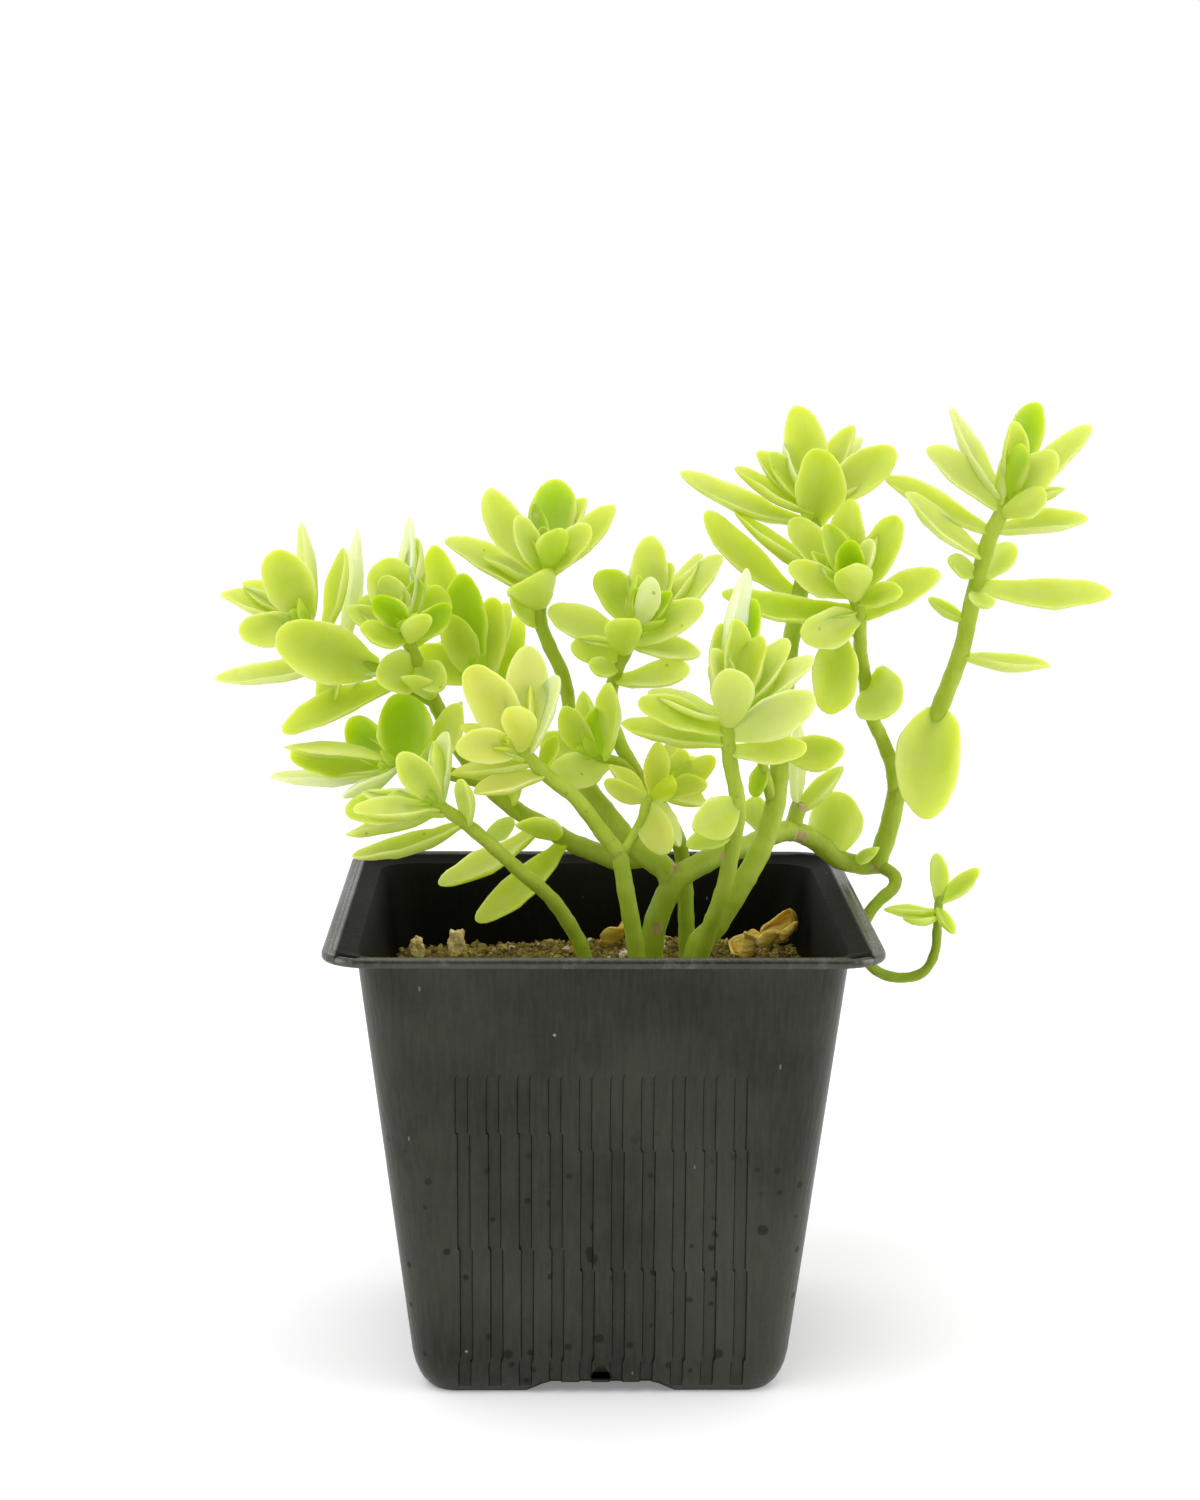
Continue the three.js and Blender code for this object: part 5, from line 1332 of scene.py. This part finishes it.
def ring_stack(name, rings, first, last):
    """A closed mesh through rings of equally many points, with a middle point at both ends."""
    count, end = len(rings[0]), (len(rings) - 1) * len(rings[0])
    points = [p for ring in rings for p in ring] + [(0, 0, first), (0, 0, last)]
    steps = [(i, (i + 1) % count) for i in range(count)]
    faces = [(r * count + i, r * count + j, (r + 1) * count + j, (r + 1) * count + i)
             for r in range(len(rings) - 1) for i, j in steps]
    faces += [(len(points) - 2, j, i) for i, j in steps]
    faces += [(len(points) - 1, end + i, end + j) for i, j in steps]
    mesh = bpy.data.meshes.new(name)
    mesh.from_pydata([tuple(np.array(p) * MM + POT_MIDDLE) for p in points], [], faces)
    return mesh


def pot_shell():
    outside, inside = shell_levels()
    rings = [square_ring(*level) for level in outside + inside]
    mesh = ring_stack("pot_shell", rings, rings[0][0][2], rings[-1][0][2])
    outer = np.zeros(len(mesh.vertices))
    outer[: len(outside) * len(rings[0])] = 1
    note_on_points(mesh, "outer", outer)
    return mesh


SHELL = pot_shell()
print("pot shell:", len(SHELL.vertices), "points")


# %% [markdown]
# ## Pressing in the ribs
#
# Ten flat bands are pressed into each side of the wall, in three steps up its height, each
# step a little shallower and a little to the side of the last, as the mould's parts never
# quite line up. The rule is the same on all four sides, so a tree does it: it asks each
# point how far along its side it is, whether that is inside a band, and how high it is.

# %% Draw the rib tree and press the wall
RIB_START = 0.0021
ASIDE_START = WALL_FOOT_Z * MM + 0.0002
RIBBED_HALF = 0.0239
LEFT_STARTS, LEFT_LIFT = -0.004, 0.0038


def rib_tree():
    bench, given = geometry_tree("ribs_in_a_wall", {
        "Pitch": RIB_PITCH * MM, "Half Width": RIB_HALF * MM, "Depth": 0.0007, "Side Step": 0.00032,
        "Low Step": 0.0224, "Mid Step": 0.0434, "Top": 0.0562, "Finish": POT_PLASTIC})
    place = bench.made("GeometryNodeInputPosition", "Position")
    x, y, z = bench.parts(bench.maths("SUBTRACT", place, tuple(POT_MIDDLE)))
    faces_x = bench.maths("GREATER_THAN", bench.maths("ABSOLUTE", x), bench.maths("ABSOLUTE", y))
    along = bench.between(faces_x, x, y)
    sign_x, sign_y = bench.maths("SIGN", x) * faces_x, bench.maths("SIGN", y) * (1.0 - faces_x)
    wrapped = bench.maths("FLOORED_MODULO", along, given["Pitch"])
    off = bench.maths("ABSOLUTE", wrapped - given["Pitch"] * 0.5)
    band = bench.maths("LESS_THAN", off, given["Half Width"])
    inside = bench.maths("LESS_THAN", bench.maths("ABSOLUTE", along), RIBBED_HALF)
    left = bench.maths("LESS_THAN", along, LEFT_STARTS) * LEFT_LIFT
    low = bench.maths("LESS_THAN", z, given["Low Step"] + left)
    top = bench.maths("GREATER_THAN", z, given["Mid Step"] + left * 0.8)
    on_wall = bench.read("outer", "FLOAT") * inside * bench.maths("LESS_THAN", z, given["Top"])
    strength = 0.82 + low * 0.28 - top * 0.25
    depth = band * on_wall * bench.maths("GREATER_THAN", z, RIB_START) * strength * given["Depth"]
    above_foot = bench.maths("GREATER_THAN", z, ASIDE_START)
    aside = (low - top) * given["Side Step"] * on_wall * above_foot
    move = bench.made("ShaderNodeCombineXYZ", "Vector", {
        "X": aside * (1.0 - faces_x) - sign_x * depth, "Y": aside * faces_x - sign_y * depth})
    pressed = bench.made("GeometryNodeSetPosition", "Geometry", {
        "Geometry": given["Geometry"], "Offset": move})
    end_tree(bench, pressed, given["Finish"])
    return bench


RIB_TREE = rib_tree()
POT = worked("nursery_pot", SHELL, RIB_TREE)
print("pressed pot:", triangles(POT), "triangles")


# %% [markdown]
# ## Arches and drain holes
#
# The foot is cut away in a low arch on each side, so that water can run off, and the floor
# has round holes. Each hole is the shape of a plain cutter, taken away with a Boolean,
# which keeps the wall's thickness true at the cut.

# %% Cut the arches and holes
ARCH_HALF, ARCH_TOP_HALF, ARCH_RISE = 13.2, 8.6, 2.1
HEEL_HOLE = (3.2, 2.7, 4.2, 26.0)
FLOOR_HOLE_RADIUS, FLOOR_HOLE_REACH = 2.6, 15.0
CREASE_ANGLE = 32


def arch_line():
    line = [(-ARCH_HALF - 3, -1.0)]
    for step in range(25):
        x = -ARCH_HALF + 2 * ARCH_HALF * step / 24
        share = min(1.0, max(0.0, (ARCH_HALF - abs(x)) / (ARCH_HALF - ARCH_TOP_HALF)))
        rise = ARCH_RISE * share * share * (3 - 2 * share)
        line.append((x, rise - (0.35 if step in (0, 24) else 0.0)))
    return line + [(ARCH_HALF + 3, -1.0)]


def cutter_bar(line, near, far, side):
    """A bar with that upright outline, from one depth to another, turned to a side."""
    cutter = bmesh.new()
    turn = Matrix.Rotation(side * math.pi / 2, 3, "Z")
    rings = [[cutter.verts.new(turn @ Vector((x, y, z)) * MM + Vector(POT_MIDDLE)) for x, z in line]
             for y in (near, far)]
    cutter.faces.new(rings[0])
    cutter.faces.new(rings[1][::-1])
    for i in range(len(line)):
        after = (i + 1) % len(line)
        cutter.faces.new((rings[0][i], rings[1][i], rings[1][after], rings[0][after]))
    bmesh.ops.recalc_face_normals(cutter, faces=cutter.faces)
    return cutter


def cutter_post(x, y, radius, low, high):
    cutter = bmesh.new()
    place = Matrix.Translation(Vector((x, y, (low + high) / 2)) * MM + Vector(POT_MIDDLE))
    bmesh.ops.create_cone(cutter, cap_ends=True, segments=28, radius1=radius * MM, radius2=radius * MM,
                          depth=(high - low) * MM, matrix=place)
    return cutter


def cut_away(piece, cutters):
    for cutter in cutters:
        mesh = bpy.data.meshes.new("cutter")
        cutter.to_mesh(mesh)
        tool = new_object("cutter", mesh)
        modifier = piece.modifiers.new("cut", "BOOLEAN")
        modifier.object = tool
        modifier.operation = "DIFFERENCE"
        modifier.solver = "EXACT"
        as_plain_mesh(piece)
        bpy.data.objects.remove(tool)


width, low, high, reach = HEEL_HOLE
heel = [(-width / 2, low), (width / 2, low), (width / 2 - 0.3, high), (-width / 2 + 0.3, high)]
bars = [cutter_bar(arch_line(), -RIM_HALF, RIM_HALF, side) for side in (0, 1)]
heels = [cutter_bar(heel, -RIM_HALF, -reach, side) for side in range(4)]
reach = FLOOR_HOLE_REACH
posts = [cutter_post(x, y, FLOOR_HOLE_RADIUS, -1, FLOOR_Z + 0.5)
         for x, y in ((0, 0), (reach, reach), (-reach, reach), (-reach, -reach), (reach, -reach))]
cut_away(POT, bars + heels + posts)


def crisp_edges(piece, degrees):
    piece.data.shade_smooth()
    piece.data.set_sharp_from_angle(angle=math.radians(degrees))


crisp_edges(POT, CREASE_ANGLE)
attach(POT, "root")
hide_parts("pot")
print("nursery pot:", triangles(POT), "triangles")

# %% [markdown]
# ## The soil finish
#
# Potting soil is peat, grit and bark, so no two crumbs have the same colour. Each crumb
# keeps one random number, and the finish turns it into dark peat, red-brown bark, tan
# fibre or a pale grain.

# %% Mix the soil finish
def soil_finish():
    finish = Finish("potting_soil", specular_ior_level=0.12)
    crumb = finish.noted("crumb")[1]
    patches = finish.use(MOTTLING, scale=160.0, low=0.35, high=0.65)
    fine = finish.use(MOTTLING, scale=1600.0, low=0.3, high=0.7)
    peat = finish.tint(fine, (0.06, 0.042, 0.008), (0.24, 0.18, 0.038))
    bark = finish.tint(fine, (0.32, 0.235, 0.05), (0.62, 0.49, 0.14))
    colour = finish.tint(finish.ramp(crumb, 0.4, 0.85), peat, bark)
    wet = finish.use(MOTTLING, scale=75.0, low=0.4, high=0.62)
    colour = finish.tint(wet * 0.6, colour, (0.03, 0.019, 0.004))
    colour = finish.tint(patches * 0.35, colour, (0.42, 0.31, 0.085))
    colour = finish.tint(finish.ramp(crumb, 0.965, 0.985), colour, (0.62, 0.55, 0.42))
    grain = finish.use(FINE_GRAIN, scale=2200.0, coarse=0.5)
    return finish.done(colour, 0.8 + fine * 0.15, grain, 0.0004)


POTTING_SOIL = soil_finish()
print("soil finish:", POTTING_SOIL.name)

# %% [markdown]
# ## The soil
#
# The soil is a body that fills the pot, with an uneven top. A tree then strews crumbs over
# that top: it picks points on it at random, sets a small rough lump on each, turns and
# scales the lumps at random, and pushes their points about so that no lump stays round.

# %% Fill the pot with soil
SOIL_TOP = 60.8
MOUND_X, MOUND_Y, MOUND_RISE, MOUND_SPREAD = 12.0, 18.0, 3.6, 14.0
SOIL_GAP = 0.35
SOIL_RINGS = 40
BROAD_SWELL, FINE_SWELL = 0.7, 0.55


def soil_height(x, y):
    place = Vector((x * 0.16, y * 0.16, 3.1))
    swell = BROAD_SWELL * noise.noise(place) + FINE_SWELL * noise.fractal(place * 5.0, 0.9, 2.1, 3)
    away = ((x - MOUND_X) ** 2 + (y - MOUND_Y) ** 2) / (2 * MOUND_SPREAD ** 2)
    return SOIL_TOP + MOUND_RISE * math.exp(-away) + swell


def soil_body():
    foot = FLOOR_Z + SOIL_GAP
    rings = [square_ring(wall_half(foot) - WALL_THICK - SOIL_GAP - 1.4, 4.9, foot),
             square_ring(wall_half(WALL_FOOT_Z) - WALL_THICK - SOIL_GAP, 5.6, WALL_FOOT_Z)]
    edge = square_ring(wall_half(SOIL_TOP) - WALL_THICK - SOIL_GAP, 5.6, 0)
    for ring in range(SOIL_RINGS):
        share = 1 - ring / SOIL_RINGS
        rings.append([(x * share, y * share, soil_height(x * share, y * share)) for x, y, _ in edge])
    return ring_stack("soil_body", rings, foot, soil_height(0, 0))


def soil_tree():
    bench, given = geometry_tree("crumbs_on_the_soil", {
        "Crumbs": 420000.0, "Grit": 900000.0, "Largest": 0.0011, "Seed": 7, "Finish": POTTING_SOIL})
    normal = bench.made("GeometryNodeInputNormal", "Normal")
    upward = bench.maths("GREATER_THAN", bench.parts(normal)[2], 0.4)

    def drawn(seed, kind="FLOAT_VECTOR", **limits):
        return bench.made("FunctionNodeRandomValue", "Value", {**limits, "Seed": seed}, data_type=kind)

    def strewn(density, roundness, smallest, largest, seed):
        points = bench.made("GeometryNodeDistributePointsOnFaces", "Points", {
            "Mesh": given["Geometry"], "Selection": upward, "Density": density,
            "Seed": given["Seed"] + float(seed)})
        lump = bench.made("GeometryNodeMeshIcoSphere", "Mesh", {"Radius": 1.0, "Subdivisions": roundness})
        set_out = bench.made("GeometryNodeInstanceOnPoints", "Instances", {
            "Points": points, "Instance": lump, "Rotation": drawn(seed, Max=(6.28,) * 3),
            "Scale": drawn(seed + 1, Min=(smallest,) * 3, Max=(largest,) * 3)})
        told = bench.kept(set_out, "crumb", drawn(seed + 2, "FLOAT"), "FLOAT", "INSTANCE")
        real = bench.made("GeometryNodeRealizeInstances", "Geometry", {0: told})
        place = bench.made("GeometryNodeInputPosition", "Position")
        rough = bench.made("ShaderNodeTexNoise", "Color", {"Vector": place, "Scale": 1300.0, "Detail": 1.0})
        push = bench.maths("SUBTRACT", rough, (0.5, 0.5, 0.5)) * (given["Largest"] * 1.1)
        return bench.made("GeometryNodeSetPosition", "Geometry", {"Geometry": real, "Offset": push})

    parts = bench.lay("GeometryNodeJoinGeometry")
    for part in (given["Geometry"], strewn(given["Crumbs"], 2, 0.0003, 0.0009, 11),
                 strewn(given["Grit"], 1, 0.0002, 0.00055, 31)):
        bench.tree.links.new(part.socket, parts.inputs["Geometry"])
    end_tree(bench, bench.out(parts, "Geometry"), given["Finish"])
    return bench


SOIL = worked("potting_soil", soil_body(), soil_tree())
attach(SOIL, "root")
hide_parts("soil")
print("soil:", triangles(SOIL), "triangles")


# %% [markdown]
# ## Litter on the soil
#
# On the soil lie two curled dry leaves, two chips of bark and two grains of perlite, the
# white puffed stone that keeps potting soil airy. Each is shaped roughly first, and then
# stretched to fill the box of the frame's solid that it stands for.

# %% Fit a piece to its solid's box
def fitted(piece, node):
    low, high = (np.array(corner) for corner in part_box(node))
    places = np.empty(len(piece.data.vertices) * 3)
    piece.data.vertices.foreach_get("co", places)
    places = places.reshape(-1, 3)
    small, big = places.min(axis=0), places.max(axis=0)
    places = low + (places - small) / (big - small) * (high - low)
    piece.data.vertices.foreach_set("co", places.ravel())
    piece.data.update()
    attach(piece, "root")
    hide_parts(node)
    return piece


print("fitting ready")

# %% [markdown]
# ## Bark chips and perlite
#
# A chip is a lump split along its grain, so it is flat-sided, and its edges are broken. A
# fine ball is pushed in and out by noise, with steps for the bark's layers. Perlite is
# rounder and full of pits.

# %% Make the chips and grains
def bark_finish():
    finish = Finish("tan_bark", specular_ior_level=0.12)
    layers = finish.use(MOTTLING, finish.stretched((1.0, 1.0, 0.25)), scale=900.0, low=0.3, high=0.7)
    patches = finish.use(MOTTLING, scale=420.0, low=0.35, high=0.65)
    colour = finish.tint(layers, (0.68, 0.48, 0.15), (0.95, 0.76, 0.36))
    colour = finish.tint(patches * 0.5, colour, (0.97, 0.84, 0.48))
    grain = finish.use(FINE_GRAIN, scale=2400.0, coarse=0.4)
    return finish.done(colour, 0.75 + layers * 0.1, grain + layers * 0.5, 0.0003)


def perlite_finish():
    finish = Finish("white_perlite", subsurface_weight=0.3, subsurface_scale=0.0008)
    dirt = finish.use(MOTTLING, scale=500.0, low=0.45, high=0.75)
    pits = finish.use(SPECKS, scale=1500.0, size=0.3, share=0.7)
    colour = finish.tint(dirt * 0.5, (0.82, 0.80, 0.72), (0.45, 0.33, 0.18))
    return finish.done(colour, 0.7 + dirt * 0.15, 1.0 - pits, 0.00025)


LUMP_STRETCH = (1.0, 0.8, 1.3)


def lump(name, roughness, seed, finish):
    shape = bmesh.new()
    bmesh.ops.create_icosphere(shape, subdivisions=5, radius=1.0)
    for point in shape.verts:
        way = point.co.copy()
        place = way * 1.3 + Vector((seed * 7.3, 0, 0))
        flats = max(abs(way.x), abs(way.y) * 0.9, abs(way.z) * 0.8)
        push = 0.72 / max(flats, 0.55) ** 0.7 + roughness * noise.noise(place)
        push += roughness * 0.35 * noise.noise(place * 4.0) + roughness * 0.12 * noise.noise(place * 11.0)
        point.co = Vector(a * b for a, b in zip(way * push, LUMP_STRETCH))
    mesh = bpy.data.meshes.new(name)
    shape.to_mesh(mesh)
    mesh.shade_smooth()
    mesh.materials.append(finish)
    return new_object(name, mesh)


BARK, PERLITE = bark_finish(), perlite_finish()
for name, node, roughness, seed, finish, slot in (
    ("left_bark_chip", "bark_chip_left", 0.42, 1, BARK, "bark"),
    ("right_bark_chip", "bark_chip_right", 0.42, 2, BARK, "bark"),
    ("big_perlite_grain", "perlite_grain_1", 0.3, 3, PERLITE, "perlite"),
    ("small_perlite_grain", "perlite_grain_2", 0.3, 4, PERLITE, "perlite"),
):
    piece = fitted(lump(name, roughness, seed, finish), node)
    print(name, triangles(piece), "triangles")

# %% [markdown]
# ## Dry leaves
#
# A dead leaf loses its flesh: it becomes a thin, crisp skin that rolls up along its length
# and twists, with a ragged rim. It starts as a flat grid in the shape of a leaf, is rolled
# and crumpled point by point, and then gets its thickness from a Solidify modifier. The
# noise that crumples it has a fixed seed, so that every run rolls the same leaf.

# %% Roll the dry leaves
def dry_leaf_finish():
    finish = Finish("dry_leaf_skin", subsurface_weight=0.3, subsurface_scale=0.0015, specular_ior_level=0.15)
    finish.shader.inputs["Subsurface Radius"].default_value = (1.0, 0.8, 0.3)
    veins = finish.use(MOTTLING, finish.stretched((0.3, 1.0, 1.0)), scale=1100.0, low=0.35, high=0.65)
    patches = finish.use(MOTTLING, scale=300.0, low=0.3, high=0.7)
    colour = finish.tint(patches, (0.66, 0.40, 0.045), (0.93, 0.67, 0.14))
    colour = finish.tint(veins * 0.45, colour, (0.96, 0.82, 0.34))
    grain = finish.use(FINE_GRAIN, scale=1600.0, coarse=0.7)
    return finish.done(colour, 0.6 + patches * 0.2, grain + veins * 0.6, 0.0003)


LONG_STEPS, WIDE_STEPS = 44, 26
DRY_LENGTH, SKIN_THICK = 0.012, 0.0004
CRUMPLE_SEED = 8


def dry_leaf(name, curl, twist, crumple, pitch, yaw, seed, finish):
    points, faces = [], []
    for i in range(LONG_STEPS + 1):
        u = i / LONG_STEPS
        half = 0.42 * math.sin(math.pi * min(0.97, 0.08 + 0.9 * u)) ** 0.7
        half *= 0.85 + 0.3 * noise.noise(Vector((u * 4, seed, 0)))
        for j in range(WIDE_STEPS + 1):
            v = j / WIDE_STEPS * 2 - 1
            rim = 1 + 0.16 * noise.noise(Vector((u * 7, v * 2, seed)))
            angle = v * curl * (0.6 + 0.5 * u) * rim
            reach = half / max(curl, 0.3)
            spot = Vector((u - 0.5, reach * math.sin(angle), reach * (1 - math.cos(angle))))
            spot = Matrix.Rotation(twist * (u - 0.5), 3, "X") @ spot
            spot += crumple * noise.noise_vector(spot * 4 + Vector((seed * 3.1, 0, 0)))
            points.append(Matrix.Rotation(yaw, 3, "Z") @ Matrix.Rotation(pitch, 3, "Y") @ spot)
    for i in range(LONG_STEPS):
        for j in range(WIDE_STEPS):
            a = i * (WIDE_STEPS + 1) + j
            faces.append((a, a + 1, a + WIDE_STEPS + 2, a + WIDE_STEPS + 1))
    mesh = bpy.data.meshes.new(name)
    mesh.from_pydata([tuple(p * DRY_LENGTH) for p in points], [], faces)
    mesh.materials.append(finish)
    piece = new_object(name, mesh)
    skin = piece.modifiers.new("skin", "SOLIDIFY")
    skin.thickness = SKIN_THICK
    skin.offset = 0
    as_plain_mesh(piece).data.shade_smooth()
    return piece


DRY_SKIN = dry_leaf_finish()
noise.seed_set(CRUMPLE_SEED)
for name, node, *shape in (
    ("right_dry_leaf", "dry_leaf_right", 2.0, 1.6, 0.26, -0.35, 0.35, 5),
    ("middle_dry_leaf", "dry_leaf_middle", 1.5, 1.0, 0.12, -0.8, -0.5, 9),
):
    piece = fitted(dry_leaf(name, *shape, DRY_SKIN), node)
    print(name, triangles(piece), "triangles")

# %% [markdown]
# ## The finished size
#
# The size of all the finished pieces together is printed, in millimetres. The finished
# piece must not be bigger than the frame.

# %% Print the finished size
bpy.context.view_layer.update()
low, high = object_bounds()
print("finished, mm:", [round(1000 * (b - a), 1) for a, b in zip(low, high)])
